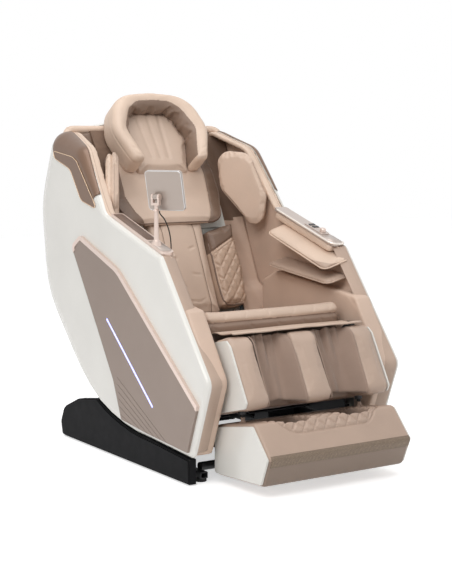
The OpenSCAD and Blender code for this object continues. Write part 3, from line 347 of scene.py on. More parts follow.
def groove(ob, plane, w, depth, width, where):
    """Seam round the walls at height w of the plane; where(q) picks the points."""
    co, n, q, nl = in_plane(ob, plane)
    k = depth / 1000 * np.exp(-((q[:, 2] - w) / width) ** 2)
    sink(ob, co, n, k * smoothstep((0.75 - np.abs(nl[:, 2])) / TURN) * where(q))


def carve(ob, plane, lines, depth, width, face=0.2):
    """Sewn channels: the face turned to +w sinks along the lines (mm, in the plane)."""
    co, n, q, nl = in_plane(ob, plane)
    d = np.min([line_distance(q[:, :2], np.asarray(line, float)) for line in lines], axis=0)
    sink(ob, co, n, depth / 1000 * np.exp(-(d / width) ** 2) * smoothstep((nl[:, 2] - face) / TURN))


SEAM_W, SWELL, SWELL_W = 3.2, 0.35, 6  # quilting: width of a seam, rise and reach of the swell


def quilt(ob, plane, area, pitch, depth, slope):
    """Diamond quilting inside the outline."""
    co, n, q, nl = in_plane(ob, plane)
    d = rim_distance(q[:, :2], area)
    on = inside(q[:, :2], area)
    for s in (1, -1):
        a = q[:, 0] + s * q[:, 1] / slope
        d = np.minimum(d, np.abs((a / pitch + 0.5) % 1 - 0.5) * pitch / sqrt(2))
    k = depth / 1000 * np.exp(-(d / SEAM_W) ** 2) * on
    k -= depth * SWELL / 1000 * on * (1 - np.exp(-(d / SWELL_W) ** 2))
    sink(ob, co, n, k * smoothstep((nl[:, 2] - 0.2) / TURN))


def ripple(ob, amount, scale, seed):
    """Soft unevenness of stuffed leather, from a few sine waves."""
    rng = np.random.default_rng(seed)
    co, n = points(ob), normals(ob)
    k = np.zeros(len(co))
    waves = 7
    for _ in range(waves):
        d = unit(rng.normal(size=3)) * rng.uniform(0.6, 1.6) * 2 * pi / (scale / 1000)
        k += np.sin(co @ d + rng.uniform(0, 2 * pi))
    move_points(ob, co + n * (k / waves * amount / 1000)[:, None])


def crease(ob, plane, lines, depth, width):
    """Creases that fade at both ends, each with a raised lip beside it."""
    co, n, q, nl = in_plane(ob, plane)
    k = np.zeros(len(co))
    for line in lines:
        line = np.asarray(line, float)
        d = line_distance(q[:, :2], line)
        ends = np.minimum(np.linalg.norm(q[:, :2] - line[0], axis=1),
                          np.linalg.norm(q[:, :2] - line[-1], axis=1))
        fade = smoothstep(ends / (np.linalg.norm(line[-1] - line[0]) * 0.35))
        lip = 0.4 * np.exp(-((d - 2.2 * width) / width) ** 2)
        k = np.maximum(k, fade * (np.exp(-(d / width) ** 2) - lip))
    sink(ob, co, n, k * depth / 1000 * smoothstep((nl[:, 2] - 0.1) / TURN))


ASKEW = (0.31, 0.2, 0.93)  # a direction that no path starts along


def tube(name, path, r, sides=8, closed=False, rib=None):
    """Tube along a path in metres. r is in mm, and rib = (pitch, share) makes it rope-like."""
    p = np.asarray(path, float)
    n = len(p)
    t = np.roll(p, -1, 0) - np.roll(p, 1, 0) if closed else np.gradient(p, axis=0)
    t /= np.maximum(np.linalg.norm(t, axis=1), 1e-9)[:, None]
    u = unit(np.cross(t[0], ASKEW))
    s = run_of(p) * 1000
    verts = []
    for i in range(n):
        u = unit(u - (u @ t[i]) * t[i])
        w = np.cross(t[i], u)
        for k in range(sides):
            a = 2 * pi * k / sides
            rr = r * (1 + rib[1] * sin(2 * pi * s[i] / rib[0] + a)) if rib else r
            verts.append(p[i] + (u * cos(a) + w * sin(a)) * rr / 1000)
    faces = []
    for i in range(n if closed else n - 1):
        for k in range(sides):
            a, b = i * sides + k, i * sides + (k + 1) % sides
            c, d = ((i + 1) % n) * sides + (k + 1) % sides, ((i + 1) % n) * sides + k
            faces.append([a, b, c, d])
    if not closed:
        faces += [list(range(sides))[::-1], list(range((n - 1) * sides, n * sides))]
    return mesh_object(name, verts, faces)


RAY_START = 300


def on_face(ob, plane, line, lift):
    """The line (mm, in the plane) laid on the face of ob that is turned to +w. Metres."""
    me, made = ob.data, []
    faces = BVHTree.FromPolygons([v.co[:] for v in me.vertices],
                                 [p.vertices[:] for p in me.polygons])
    for q in np.asarray(line, float):
        hit = faces.ray_cast(Vector(plane.out((q[0], q[1], RAY_START))), Vector(-plane.m[2]))
        if hit[0] is not None:
            made.append(np.array(hit[0]) + np.array(hit[1]) * lift / 1000)
    return np.array(made)


def soften(path, times=2, closed=False):
    p = np.array(path)
    for _ in range(times):
        q = (np.roll(p, 1, 0) + 2 * p + np.roll(p, -1, 0)) / 4
        if not closed:
            q[0], q[-1] = p[0], p[-1]
        p = q
    return p


def sheet_solid(name, grid, thick):
    """Closed thin solid from a grid of points (rows, columns, 3) in metres; thick in mm."""
    g = np.asarray(grid, float)
    a, b = g.shape[:2]
    du, dv = np.gradient(g, axis=1), np.gradient(g, axis=0)
    n = np.cross(du, dv)
    n /= np.maximum(np.linalg.norm(n, axis=2), 1e-12)[..., None]
    top = (g + n * thick / 2000).reshape(-1, 3)
    low = (g - n * thick / 2000).reshape(-1, 3)
    m = a * b
    faces = []
    for i in range(a - 1):
        for j in range(b - 1):
            p, q, r, s = i * b + j, i * b + j + 1, (i + 1) * b + j + 1, (i + 1) * b + j
            faces += [[p, q, r, s], [m + s, m + r, m + q, m + p]]
    edge = list(range(b)) + [i * b + b - 1 for i in range(1, a)]
    edge += [(a - 1) * b + j for j in range(b - 2, -1, -1)] + [i * b for i in range(a - 2, 0, -1)]
    for k, p in enumerate(edge):
        q = edge[(k + 1) % len(edge)]
        faces.append([q, p, m + p, m + q])
    return mesh_object(name, np.vstack([top, low]), faces)


def paint(ob, *materials):
    ob.data.materials.clear()
    for m in materials:
        ob.data.materials.append(m)


def split_paint(ob, keys, choose, plane=None):
    """choose(centres) -> for each face, the place of its material in keys.

    The centres are in metres, or in mm in the plane."""
    paint(ob, *[mat[k] for k in keys])
    c = rows_of(ob.data.polygons, "center")
    k = np.asarray(choose(plane.into(c) if plane else c), int)
    ob.data.polygons.foreach_set("material_index", k)
    ob.data.update()


# ----- materials -----
def tree(name):
    m = bpy.data.materials.new(name)
    m.use_nodes = True
    nt = m.node_tree
    nt.nodes.clear()
    out = nt.nodes.new("ShaderNodeOutputMaterial")
    bsdf = nt.nodes.new("ShaderNodeBsdfPrincipled")
    nt.links.new(bsdf.outputs[0], out.inputs[0])
    co = nt.nodes.new("ShaderNodeTexCoord")
    return m, nt, bsdf, co.outputs["Object"]


def feed(nt, n, inputs):
    """Links or sets each of the node's inputs that is named."""
    for k, v in inputs.items():
        if isinstance(v, bpy.types.NodeSocket):
            nt.links.new(v, n.inputs[k])
        else:
            n.inputs[k].default_value = v


def add(nt, kind, inputs, **props):
    n = nt.nodes.new(kind)
    for k, v in props.items():
        setattr(n, k, v)
    feed(nt, n, inputs)
    return n


def noise(nt, co, scale, detail, rough=0.5):
    return add(nt, "ShaderNodeTexNoise", {"Vector": co, "Scale": scale, "Detail": detail,
                                          "Roughness": rough}).outputs["Fac"]


def tint(nt, fac, a, b, lo=0.3, hi=0.7):
    n = add(nt, "ShaderNodeValToRGB", {"Fac": fac})
    n.color_ramp.elements[0].position, n.color_ramp.elements[1].position = lo, hi
    n.color_ramp.elements[0].color, n.color_ramp.elements[1].color = (*a, 1), (*b, 1)
    return n.outputs[0]


def ranged(nt, fac, a, b, lo=0.0, hi=1.0):
    return add(nt, "ShaderNodeMapRange", {"Value": fac, "From Min": lo, "From Max": hi,
                                          "To Min": a, "To Max": b}).outputs[0]


def bump(nt, height, strength, distance, base=None):
    wires = {"Height": height, "Strength": strength, "Distance": distance / 1000}
    if base is not None:
        wires["Normal"] = base
    return add(nt, "ShaderNodeBump", wires).outputs[0]


def mixed(nt, fac, a, b):
    """Colour mix. The sockets 6 and 7 are its colours A and B."""
    return add(nt, "ShaderNodeMix", {"Factor": fac, 6: a, 7: b}, data_type="RGBA").outputs[2]


def shade(c, k):
    return tuple(min(1.0, x * k) for x in c)


GRAIN = 520  # pebbles to the metre, and threads to the metre in a fine cloth


def leather(name, col, fold=0.35):
    """Fine-grained leather: pebbles, pores, faint folds and uneven dye."""
    m, nt, b, co = tree(name)
    pebble = add(nt, "ShaderNodeTexVoronoi", {"Vector": co, "Scale": GRAIN, "Randomness": 0.9},
                 feature="DISTANCE_TO_EDGE").outputs["Distance"]
    pore = noise(nt, co, GRAIN * 2.2, 2)
    dyed = tint(nt, noise(nt, co, 7, 4), shade(col, 0.93), shade(col, 1.04))
    gap = ranged(nt, pebble, 0.16, 0, 0, 0.09)
    folds = bump(nt, noise(nt, co, 42, 5, 0.6), fold, 1.6)
    pebbles = bump(nt, ranged(nt, pebble, 0, 1, 0, 0.12), 0.35, 0.25, folds)
    feed(nt, b, {"Base Color": mixed(nt, gap, dyed, (*shade(col, 0.72), 1)),
                 "Roughness": ranged(nt, pore, 0.4, 0.54), "Specular IOR Level": 0.42,
                 "Normal": bump(nt, pore, 0.2, 0.08, pebbles),
                 "Coat Weight": 0.06, "Coat Roughness": 0.35})
    return m


def fabric(name, col, scale=GRAIN):
    """Woven cloth: two crossed thread waves, lint and uneven dye."""
    m, nt, b, co = tree(name)
    thread = {"Vector": co, "Scale": scale, "Distortion": 1.2, "Detail": 1.0}
    warp, weft = [add(nt, "ShaderNodeTexWave", thread, bands_direction=way).outputs["Fac"]
                  for way in "XZ"]
    weave = add(nt, "ShaderNodeMath", {0: warp, 1: weft}, operation="MULTIPLY").outputs[0]
    lint = noise(nt, co, 60, 5, 0.6)
    dyed = tint(nt, noise(nt, co, 9, 4), shade(col, 0.9), shade(col, 1.06))
    feed(nt, b, {"Base Color": mixed(nt, ranged(nt, weave, 0.3, 0.0), dyed, (*shade(col, 0.6), 1)),
                 "Roughness": ranged(nt, lint, 0.74, 0.92), "Specular IOR Level": 0.25,
                 "Normal": bump(nt, weave, 0.5, 0.3, bump(nt, lint, 0.3, 1.0)),
                 "Sheen Weight": 0.25, "Sheen Roughness": 0.5})
    return m


def plastic(name, col, rough, coat=0.0, texture=0.0, metal=0.0, scale=900, spec=0.5):
    """Moulded or painted part: faint orange peel and rubbed spots, and a grain with texture."""
    m, nt, b, co = tree(name)
    rubbed = noise(nt, co, 22, 5, 0.65)
    peel = bump(nt, noise(nt, co, 130, 2), 0.04, 0.1)
    feed(nt, b, {"Base Color": tint(nt, noise(nt, co, 5, 3), shade(col, 0.97), shade(col, 1.02)),
                 "Roughness": ranged(nt, rubbed, rough[0], rough[1], 0.3, 0.7),
                 "Normal": bump(nt, noise(nt, co, scale, 2), texture, 0.12, peel),
                 "Metallic": metal, "Specular IOR Level": spec,
                 "Coat Weight": coat, "Coat Roughness": 0.08})
    return m


def steel(name, col, rough, metal=1.0):
    """Machined or plated steel: streaks along the part and light wear."""
    m, nt, b, co = tree(name)
    fit = add(nt, "ShaderNodeMapping", {"Vector": co, "Scale": (6, 260, 260)}).outputs[0]
    streak = noise(nt, fit, 4, 4)
    feed(nt, b, {"Base Color": tint(nt, noise(nt, co, 14, 4), shade(col, 0.88), shade(col, 1.05)),
                 "Roughness": ranged(nt, streak, rough[0], rough[1], 0.3, 0.7),
                 "Normal": bump(nt, streak, 0.08, 0.1), "Metallic": metal})
    return m


def woven_band(name, col):
    """Woven metallic ribbon: slanted threads over a fine brick weave."""
    m, nt, b, co = tree(name)
    thread = add(nt, "ShaderNodeTexWave", {"Vector": co, "Scale": 120, "Distortion": 0.6},
                 bands_direction="DIAGONAL").outputs["Fac"]
    up = add(nt, "ShaderNodeMapping", {"Vector": co, "Rotation": (radians(90), 0, 0)}).outputs[0]
    brick = add(nt, "ShaderNodeTexBrick", {
        "Vector": up, "Scale": 90, "Mortar Size": 0.03, "Color1": (1, 1, 1, 1),
        "Color2": (0.5, 0.5, 0.5, 1), "Mortar": (0, 0, 0, 1)}).outputs["Color"]
    mix = add(nt, "ShaderNodeMath", {0: thread, 1: brick}, operation="MULTIPLY").outputs[0]
    feed(nt, b, {"Base Color": tint(nt, mix, shade(col, 0.55), shade(col, 1.15), 0.1, 0.9),
                 "Roughness": ranged(nt, mix, 0.55, 0.35), "Normal": bump(nt, mix, 0.7, 0.5),
                 "Metallic": 0.3})
    return m


CREAM, TAN, BROWN = (0.72, 0.555, 0.44), (0.50, 0.365, 0.285), (0.19, 0.122, 0.086)
BOARD_SPLIT = 0.43  # metres up the back, where the boards turn brown


def board_cover(name):
    """Grey cloth over the boards behind the cushions, brown where it goes up behind the pillow."""
    m, nt, b, co = tree(name)
    up = add(nt, "ShaderNodeVectorMath", {0: co, 1: tuple(BACK.m[1])},
             operation="DOT_PRODUCT").outputs["Value"]
    edge = float(BACK.o @ BACK.m[1]) / 1000 + BOARD_SPLIT
    lint, thread = noise(nt, co, 60, 5, 0.6), noise(nt, co, 900, 2)
    low = tint(nt, thread, (0.74, 0.75, 0.71), (0.82, 0.83, 0.79))
    high = tint(nt, lint, shade(BROWN, 0.9), shade(BROWN, 1.1))
    feed(nt, b, {"Base Color": mixed(nt, ranged(nt, up, 0, 1, edge, edge + 0.002), low, high),
                 "Roughness": ranged(nt, lint, 0.6, 0.8), "Specular IOR Level": 0.3,
                 "Normal": bump(nt, thread, 0.3, 0.2, bump(nt, lint, 0.3, 1.0))})
    return m


def glow(name, col, strength):
    """Light pipe with faint diode spots."""
    m, nt, b, co = tree(name)
    spots = noise(nt, co, 70, 1)
    feed(nt, b, {"Emission Color": tint(nt, spots, shade(col, 0.8), shade(col, 1.0)),
                 "Emission Strength": strength, "Base Color": (*shade(col, 0.5), 1),
                 "Roughness": ranged(nt, spots, 0.2, 0.35)})
    return m


mat = {
    "white": plastic("shell_white", (0.78, 0.76, 0.715), (0.24, 0.27), coat=0.35),
    "taupe": plastic("insert_taupe", (0.29, 0.227, 0.192), (0.44, 0.48), metal=0.35, texture=0.05),
    "rose": plastic("trim_rose_gold", (0.74, 0.60, 0.53), (0.28, 0.31), metal=0.55, coat=0.2),
    "bronze": plastic("insert_bronze", (0.185, 0.105, 0.065), (0.3, 0.4), metal=0.3, coat=0.2),
    "cream": leather("leather_cream", CREAM),
    "beige": leather("leather_beige", (0.60, 0.455, 0.36)),
    "tan": leather("leather_tan", TAN),
    "brown": leather("leather_brown", BROWN),
    "boards": board_cover("fabric_boards"),
    "lining": fabric("fabric_lining", (0.40, 0.285, 0.225)),
    "dark": fabric("fabric_dark", (0.03, 0.026, 0.024), 300),
    "black": plastic("base_black", (0.009, 0.009, 0.010), (0.6, 0.7), texture=0.12, spec=0.1),
    # also painted on the sleeves on the foot's rear top, as painted shade
    "rubber": plastic("rubber_black", (0.016, 0.016, 0.016), (0.6, 0.75), texture=0.3, spec=0.3),
    "frame": steel("steel_dark", (0.05, 0.052, 0.055), (0.35, 0.5), metal=0.4),
    "steel": steel("steel_bright", (0.56, 0.57, 0.59), (0.2, 0.34)),
    "nylon": plastic("nylon", (0.7, 0.68, 0.6), (0.4, 0.5), texture=0.05),
    "dark_plastic": plastic("plastic_dark", (0.04, 0.04, 0.043), (0.4, 0.52), texture=0.1),
    "red": plastic("switch_red", (0.55, 0.03, 0.02), (0.2, 0.3), coat=0.3),
    "light": glow("light_bar", (0.42, 0.45, 1.0), 2.2),
    "silver": plastic("tablet_silver", (0.42, 0.355, 0.315), (0.3, 0.38), metal=0.4, scale=1500),
    "panel": plastic("panel_taupe", (0.52, 0.44, 0.395), (0.3, 0.38), metal=0.3, coat=0.2),
    "band": woven_band("band_bronze", (0.30, 0.22, 0.155)),
    "zip": steel("zip_silver", (0.6, 0.6, 0.6), (0.3, 0.45)),
    "pipe": leather("leather_piping", (0.56, 0.42, 0.33), fold=0.1),
    "dark_pipe": leather("leather_piping_dark", (0.17, 0.108, 0.078), fold=0.1),
    # painted shade: dark brown for the tan wall in the pillow's hole and under the bolster's fold
    "inner": leather("leather_inner", (0.27, 0.185, 0.138)),
    "quilt": leather("leather_quilt", (0.52, 0.37, 0.275)),
    "shoulder": leather("leather_shoulder", (0.66, 0.50, 0.395)),
    "wall": leather("leather_wall", (0.64, 0.475, 0.375)),
    "calf": leather("leather_calf", (0.50, 0.368, 0.29)),
    "foot": leather("leather_foot", (0.46, 0.335, 0.262)),
    # painted shade on the face under the foot's nose
    "shade": leather("leather_painted_shade_nose", (0.26, 0.19, 0.145)),
    "tray": leather("leather_tray", (0.17, 0.108, 0.082)),
    # near-white gloss for the left arm top's edge: painted highlight
    "painted_highlight": plastic("trim_painted_highlight", (0.86, 0.78, 0.71), (0.12, 0.2), metal=0.25, coat=0.6),
    "gold": plastic("trim_gold", (0.72, 0.52, 0.36), (0.22, 0.3), metal=0.8),
    "glass": plastic("screen_glass", (0.012, 0.013, 0.016), (0.05, 0.09), coat=0.6),
}
finish_of = {
    "white": "side_shell_right side_shell_left hood_shell calf_plates foot_plates",
    "taupe": "side_inserts",
    "rose": "insert_trims arm_rest_right tablet_pole control_knob",
    "panel": "arm_rest_left",
    "bronze": "hood_inserts",
    "dark": "speakers",
    "boards": "back_boards",
    "black": "base_skirt_right base_skirt_left base_rear_cover",
    "rubber": "floor_pads transport_wheels",
    "frame": "base_frame seat_frame calf_frame kneading_arm_right kneading_arm_left",
    "steel": "tilt_actuator_rod leg_actuator_rod massage_rails drive_shaft",
    "nylon": "front_rollers rear_rollers kneading_roller_right kneading_roller_left foot_rollers",
    "dark_plastic": "power_inlet tilt_actuator_tube belly_cover massage_carriage air_pump "
                    "control_box leg_actuator_tube control_button_front control_button_rear",
    "red": "power_switch",
    "light": "light_bars",
    "silver": "tablet",
    "cream": "hood_rim arm_cuff_right arm_cuff_left shoulder_pads neck_pillow",
    "beige": "seat_bolster back_cushion neck_pad",
    "tan": "arm_lining_right arm_lining_left seat_cushion back_side_pads calf_pad foot_housing "
           "tablet_cable",
}
for key, names in finish_of.items():
    for name in names.split():
        if not node[name].material_slots:
            node[name].data.materials.append(mat[key])
        for s in node[name].material_slots:
            s.material = mat[key]


def place(ob, replaces=(), materials=(), body="capsule"):
    """Rides and replaces one finished piece."""
    if materials:
        paint(ob, *[mat[k] for k in materials])
    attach(ob, body)
    if replaces:
        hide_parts(*replaces)
    return ob


# ----- camera and cord -----
lens = bpy.data.cameras.new("camera")
lens.lens, lens.sensor_width, lens.clip_end = 85.15, 36, 60
camera = linked("camera", lens)
camera.location = (-2.5886, -3.9859, 1.1056)
camera.rotation_euler = (radians(90 - 6.723), 0, radians(-33.408))
scene.camera = camera

route = [(-298, -110, 552), (-292, -110, 553), (-285, -112, 559), (-279, -116, 570),
         (-274, -122, 587), (-272, -128, 606), (-272, -138, 633), (-275, -148, 660),
         (-279, -160, 687), (-285, -171, 713), (-292, -182, 738), (-300, -191, 762),
         (-309, -197, 785), (-319, -200, 806), (-328, -198, 823), (-334, -191, 833),
         (-337, -187, 840), (-337, -186, 845.6)]
route = curve_through(np.array(route) / 1000, 0.006)
lead = tube("tablet_lead", route, 2.0, 10)
paint(lead, mat["rubber"])
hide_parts("tablet_cable")
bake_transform(lead)

# ----- outlines of the shells, repeated from the CAD model -----
HW, SHELL_WALL = 379, 5
BELLY_R, BELLY_STEP = 890, 5.5
BELLY = [(-180 + BELLY_R * sin(radians(BELLY_STEP * i)),
          1000 - BELLY_R * cos(radians(BELLY_STEP * i)), 0) for i in range(9)]
SHELL = rounded([(-445, 92, 20)] + BELLY + [
    (592, 508, 320), (632, 850, 300), (515, 1114, 76), (280, 1040, 90), (112, 822, 50),
    (-255, 706, 22), (-540, 340, 40)])
TOP_RUN = np.array([q for q in SHELL if q[1] > 690 and q[0] < 500])
TOP_RUN = resample(TOP_RUN[np.argsort(-TOP_RUN[:, 0])], 8)


def edge_radius(y):
    """Radius of the shell's top edge, which grows from the arm to the hood."""
    return 15 + 51 * smoothstep((y - 120) / 380)


def run_normals(path):
    d = np.gradient(path, axis=0)
    n = np.stack([d[:, 1], -d[:, 0]], 1)
    return n / np.linalg.norm(n, axis=1)[:, None]


SAME, LEVEL = 2e-6, 0.02  # metres within which points are one, mm within which a face is flat


def shell_piece(name, node_name, s):
    """The shell with its two flat sides filled again, free of folded triangles."""
    ob = cad_copy(name, node_name)
    bm = bmesh.new()
    bm.from_mesh(ob.data)
    bmesh.ops.remove_doubles(bm, verts=bm.verts, dist=SAME)
    for x in (HW, HW - SHELL_WALL):
        flat = [f for f in bm.faces if all(abs(abs(v.co.x) * 1000 - x) < LEVEL for v in f.verts)]
        on = set(flat)
        rim = [e for e in bm.edges if len({f in on for f in e.link_faces}) == 2]
        bmesh.ops.delete(bm, geom=flat, context="FACES_ONLY")
        bmesh.ops.triangle_fill(bm, edges=rim, use_beauty=True,
                                normal=(s if x == HW else -s, 0, 0))
    loose = [e for e in bm.edges if not e.link_faces]
    bmesh.ops.delete(bm, geom=loose, context="EDGES")
    bmesh.ops.recalc_face_normals(bm, faces=bm.faces)
    bm.to_mesh(ob.data)
    bm.free()
    return ob


# ----- soft pieces -----
def below(plane, w):
    """Picks the points under height w of the plane."""
    return lambda co: plane.into(co)[:, 2] < w


def soft(name, voxel, times):
    """A node's shape, remeshed and relaxed."""
    return relax(remesh(cad_copy(name + "_soft", name), voxel), times)


# Neck pillow: an open ring whose tips rest on the neck pad
PILLOW_TOP = 106
RING = rounded([(-157, 4, 24), (-101, 4, 14), (-134, 140, 60), (-94, 244, 66), (0, 256, 300),
                (94, 244, 66), (134, 140, 60), (101, 4, 14), (157, 4, 24), (205, 142, 110),
                (163, 284, 110), (0, 307, 420), (-163, 284, 110), (-205, 142, 110)])
HOLE = rounded([(-101, -30, 0), (101, -30, 0), (134, 140, 60), (94, 244, 66), (0, 256, 300),
                (-94, 244, 66), (-134, 140, 60)])
ring = inset(RING, 3)
pillow = remesh(prism("neck_pillow_soft", HEAD, ring, 3, PILLOW_TOP), 5)
roll(pillow, HEAD, ring, 27, PILLOW_TOP)
pillow = relax(remesh(pillow, 6), 4)

PAD = rounded([(-104, 2, 12), (104, 2, 12), (146, 140, 60), (112, 268, 66), (-112, 268, 66),
               (-146, 140, 60)])
pillow_pad = remesh(prism("neck_pillow_pad", HEAD, PAD, 1, 20), 5)


def neck_depth(co):
    """Positive on the front half of the neck pad, negative on its back."""
    q = BACK.into(co)
    return q[:, 2] - np.interp(q[:, 1], [346, 458, 550, 650], [22, -12, -14, -30]) + 9


NECK = rounded([(-190, 346, 70), (190, 346, 70), (236, 470, 60), (216, 650, 50), (-216, 650, 50),
                (-236, 470, 60)])
neck = soft("neck_pad", 5, 5)
centre = soft("back_cushion", 6, 3)

SIDE = rounded([(112.4, 26, 14), (232, 26, 40), (246, 160, 60), (243, 352, 14), (112.4, 318, 14)])
side = remesh(prism("back_side_soft_left", BACK, inset(SIDE, 4), -49, 8), 6)

SHOULDER_R = turned(-24, 0, 30)
SHOULDER = Plane((272, 246, 894), SHOULDER_R[:, 1], SHOULDER_R[:, 2])
WING = rounded([(-84, -66, 50), (-4, -190, 36), (76, 26, 54), (34, 160, 46), (-82, 98, 52)])
wing = relax(remesh(prism("shoulder_pad_left", SHOULDER, inset(WING, -6), -17, -2), 4), 5)
wing_back = relax(remesh(prism("shoulder_back_left", SHOULDER, inset(WING, -1), 1, 15), 4), 5)

seat, bolster = soft("seat_cushion", 8, 3), soft("seat_bolster", 6, 5)
cuff_l, cuff_r = soft("arm_cuff_left", 4, 3), soft("arm_cuff_right", 4, 3)

ARM_PAD = rounded([(303, 12, 18), (341, 12, 4), (341, 352, 4), (303, 352, 14)])
arm_pad = remesh(prism("arm_pad_left", ARM, inset(ARM_PAD, 1), -24, -3), 4)

calf = soft("calf_pad", 6, 3)

puff([(pillow, 13, below(HEAD, 8)), (pillow_pad, 8, below(HEAD, 4)),
      (neck, 5, lambda co: neck_depth(co) < 0), (centre, 7, below(BACK, -38)),
      (side, 8, below(BACK, -44)), (wing, 7, None), (wing_back, 6, None),
      (seat, 6, lambda co: co[:, 2] < 0.385), (bolster, 5, lambda co: co[:, 2] < 0.43),
      (cuff_l, 4, lambda co: co[:, 0] > 0.332), (cuff_r, 4, lambda co: co[:, 0] < -0.332),
      (arm_pad, 5, lambda co: co[:, 0] > 0.334), (calf, 4, lambda co: co[:, 1] > -0.43)])

# Pillow: a seam behind the front roll, a wall inside it with gathered pleats, darker with painted
# shade
PLEATS = ((1, 15, 0), (0.7, 27, 1.3), (0.5, 41, 0.4))  # height, count round, phase
finer(pillow)
groove(pillow, HEAD, w=72, depth=1.8, width=2.6,
       where=lambda q: ~inside(q[:, :2], inset(HOLE, -14)))
co, n, q, nl = in_plane(pillow, HEAD)
near = smoothstep(1 - line_distance(q[:, :2], HOLE[2:]) / 30) * smoothstep((0.5 - nl[:, 2]) / 0.4)
angle = np.arctan2(q[:, 1] - 120, q[:, 0])
pleat = sum(high * np.sin(angle * count + phase) for high, count, phase in PLEATS)
move_points(pillow, co + n * (near * pleat * smoothstep(q[:, 1] / 160) * 2.0 / 1000)[:, None])
# The wall inside the hole is painted dark brown: painted shade over its tan leather.
split_paint(pillow, ["cream", "inner"], lambda q: inside(q[:, :2], inset(HOLE, -15))
            & (q[:, 2] < 93) & (q[:, 1] > 24), HEAD)
TIP_FOLDS = ((118, 22, 30), (128, 44, 58))
crease(pillow, HEAD, [[(s * u, v), (s * (u + 32), top)] for u, v, top in TIP_FOLDS
                      for s in (-1, 1)], depth=1.6, width=4)
place(pillow, ["neck_pillow"])

finer(pillow_pad)
carve(pillow_pad, HEAD, [[(x, 60), (x * 1.3, 246)] for x in (-36, 0, 36)], depth=3.0, width=9)
place(pillow_pad, materials=["beige"])

# Neck pad with its darker side bands
finer(neck)
BAND_V, BAND_U = [340, 400, 470, 560, 650], [128, 158, 176, 176, 168]
for s in (-1, 1):
    line = curve_through([(s * u, v) for u, v in zip(BAND_U, BAND_V)], 8)
    carve(neck, BACK, [line], depth=2.0, width=3)
split_paint(neck, ["beige", "brown"],
            lambda q: np.abs(q[:, 0]) > np.interp(q[:, 1], BAND_V, BAND_U), BACK)
place(neck, ["neck_pad"])
edge = on_face(neck, BACK, resample(inset(NECK, 6), 5, True), 0.4)
place(tube("neck_pad_piping", soften(edge, 3, True), 2.2, 8, True),
      materials=["dark_pipe"])

# Back cushion
finer(centre)
carve(centre, BACK, [[(s * 70, 0), (s * 66, 660)] for s in (-1, 1)], depth=3.0, width=5)
crease(centre, BACK, [[(-40, 60), (30, 52), (62, 70)], [(-60, 120), (-10, 108)],
                      [(10, 160), (60, 150)], [(-58, 30), (-20, 36)], [(20, 250), (58, 262)],
                      [(-62, 210), (-20, 224)]], depth=2.2, width=6)
place(centre, ["back_cushion"], ["beige"])
for s, tag in SIDES[::-1]:
    line = on_face(centre, BACK, resample([(s * 70, 6), (s * 67, 348)], 5), 0.3)
    place(tube("back_seam_" + tag, line, 1.0), materials=["dark_pipe"])

# Quilted side pads, their brown band on top, and the rope round each
finer(side)
ROPE = np.array([(122, 300), (122, 48), (134, 34), (218, 34), (232, 60)])
QUILT = rounded([(124, 36, 8), (222, 36, 30), (238, 160, 60), (236, 286, 8), (124, 228, 8)])
quilt(side, BACK, QUILT, pitch=40, depth=3.2, slope=1.25)
ripple(side, 1.2, 60, 11)
carve(side, BACK, [[(112, 232), (246, 301)]], depth=4.5, width=4)
for s, tag in SIDES:
    ob = side if s > 0 else mirrored(side)
    split_paint(ob, ["quilt", "brown"],
                lambda q: q[:, 1] > 232 + 69 * (np.abs(q[:, 0]) - 112) / 134, BACK)
    place(ob, ["back_side_pads"] if s > 0 else ())
    line = soften(on_face(ob, BACK, resample(ROPE * (s, 1), 2.5), 1.0), 3)
    place(tube("side_pad_rope_" + tag, line, 3.0, 10, rib=(7, 0.16)),
          materials=["dark_pipe"])


def side_lining():
    """Lining between the boards and the wall, from the seat to the rim."""
    rows = []
    across = np.linspace(0, 1, 14)
    for v in np.linspace(-14, 735, 64):
        sag = 7 * np.sin(pi * across) + 2.2 * np.sin(across * 9 + v / 40) * np.sin(pi * across)
        forward = 27 * smoothstep((140 - v) / 50)
        rows.append([BACK.out((228 + 112 * t, v, -58 - d + forward)) for t, d in zip(across, sag)])
    return sheet_solid("side_lining_left", rows, 5)


for ob in twins(side_lining()):
    split_paint(ob, ["wall", "brown"],
                lambda q: q[:, 1] > 372 + 0.2 * (np.abs(q[:, 0]) - 238), BACK)
    place(ob)

# Shoulder cushions, two on each side
finer(wing)
ripple(wing, 1.0, 90, 3)
finer(wing_back)
for s, _ in SIDES:
    ob = wing if s > 0 else mirrored(wing)
    place(ob, ["shoulder_pads"] if s > 0 else (), ["shoulder"])
    ob = wing_back if s > 0 else mirrored(wing_back)
    place(ob, (), ["cream"])
line = SHOULDER.lift(resample(inset(WING, -1), 5, True), -9.5)
for ob in twins(tube("shoulder_piping_left", soften(line, 2, True), 1.6, 8, True)):
    place(ob, materials=["pipe"])

# Seat
finer(seat)
carve(seat, FLAT, [[(x, -300), (x, 120)] for x in (-110, 110)], depth=4, width=7)
place(seat, ["seat_cushion"], ["tan"])
finer(bolster)
carve(bolster, FRONT, [[(-270, 496), (270, 496)]], depth=9, width=8, face=-0.1)
carve(bolster, FRONT, [[(-270, 455), (270, 452)]], depth=4, width=6, face=-0.1)
crease(bolster, FRONT, [[(x, 503), (x + 14, 526)] for x in (-200, -120, -30, 70, 150, 215)],
       depth=1.6, width=5)
crease(bolster, FRONT, [[(x, 470), (x - 18, 488)] for x in (-230, -90, 20, 120, 190, 240)],
       depth=2.2, width=6)
# Below the fold the bolster is painted dark brown: painted shade.
split_paint(bolster, ["beige", "inner"], lambda c: c[:, 2] < 0.497)
place(bolster, ["seat_bolster"])

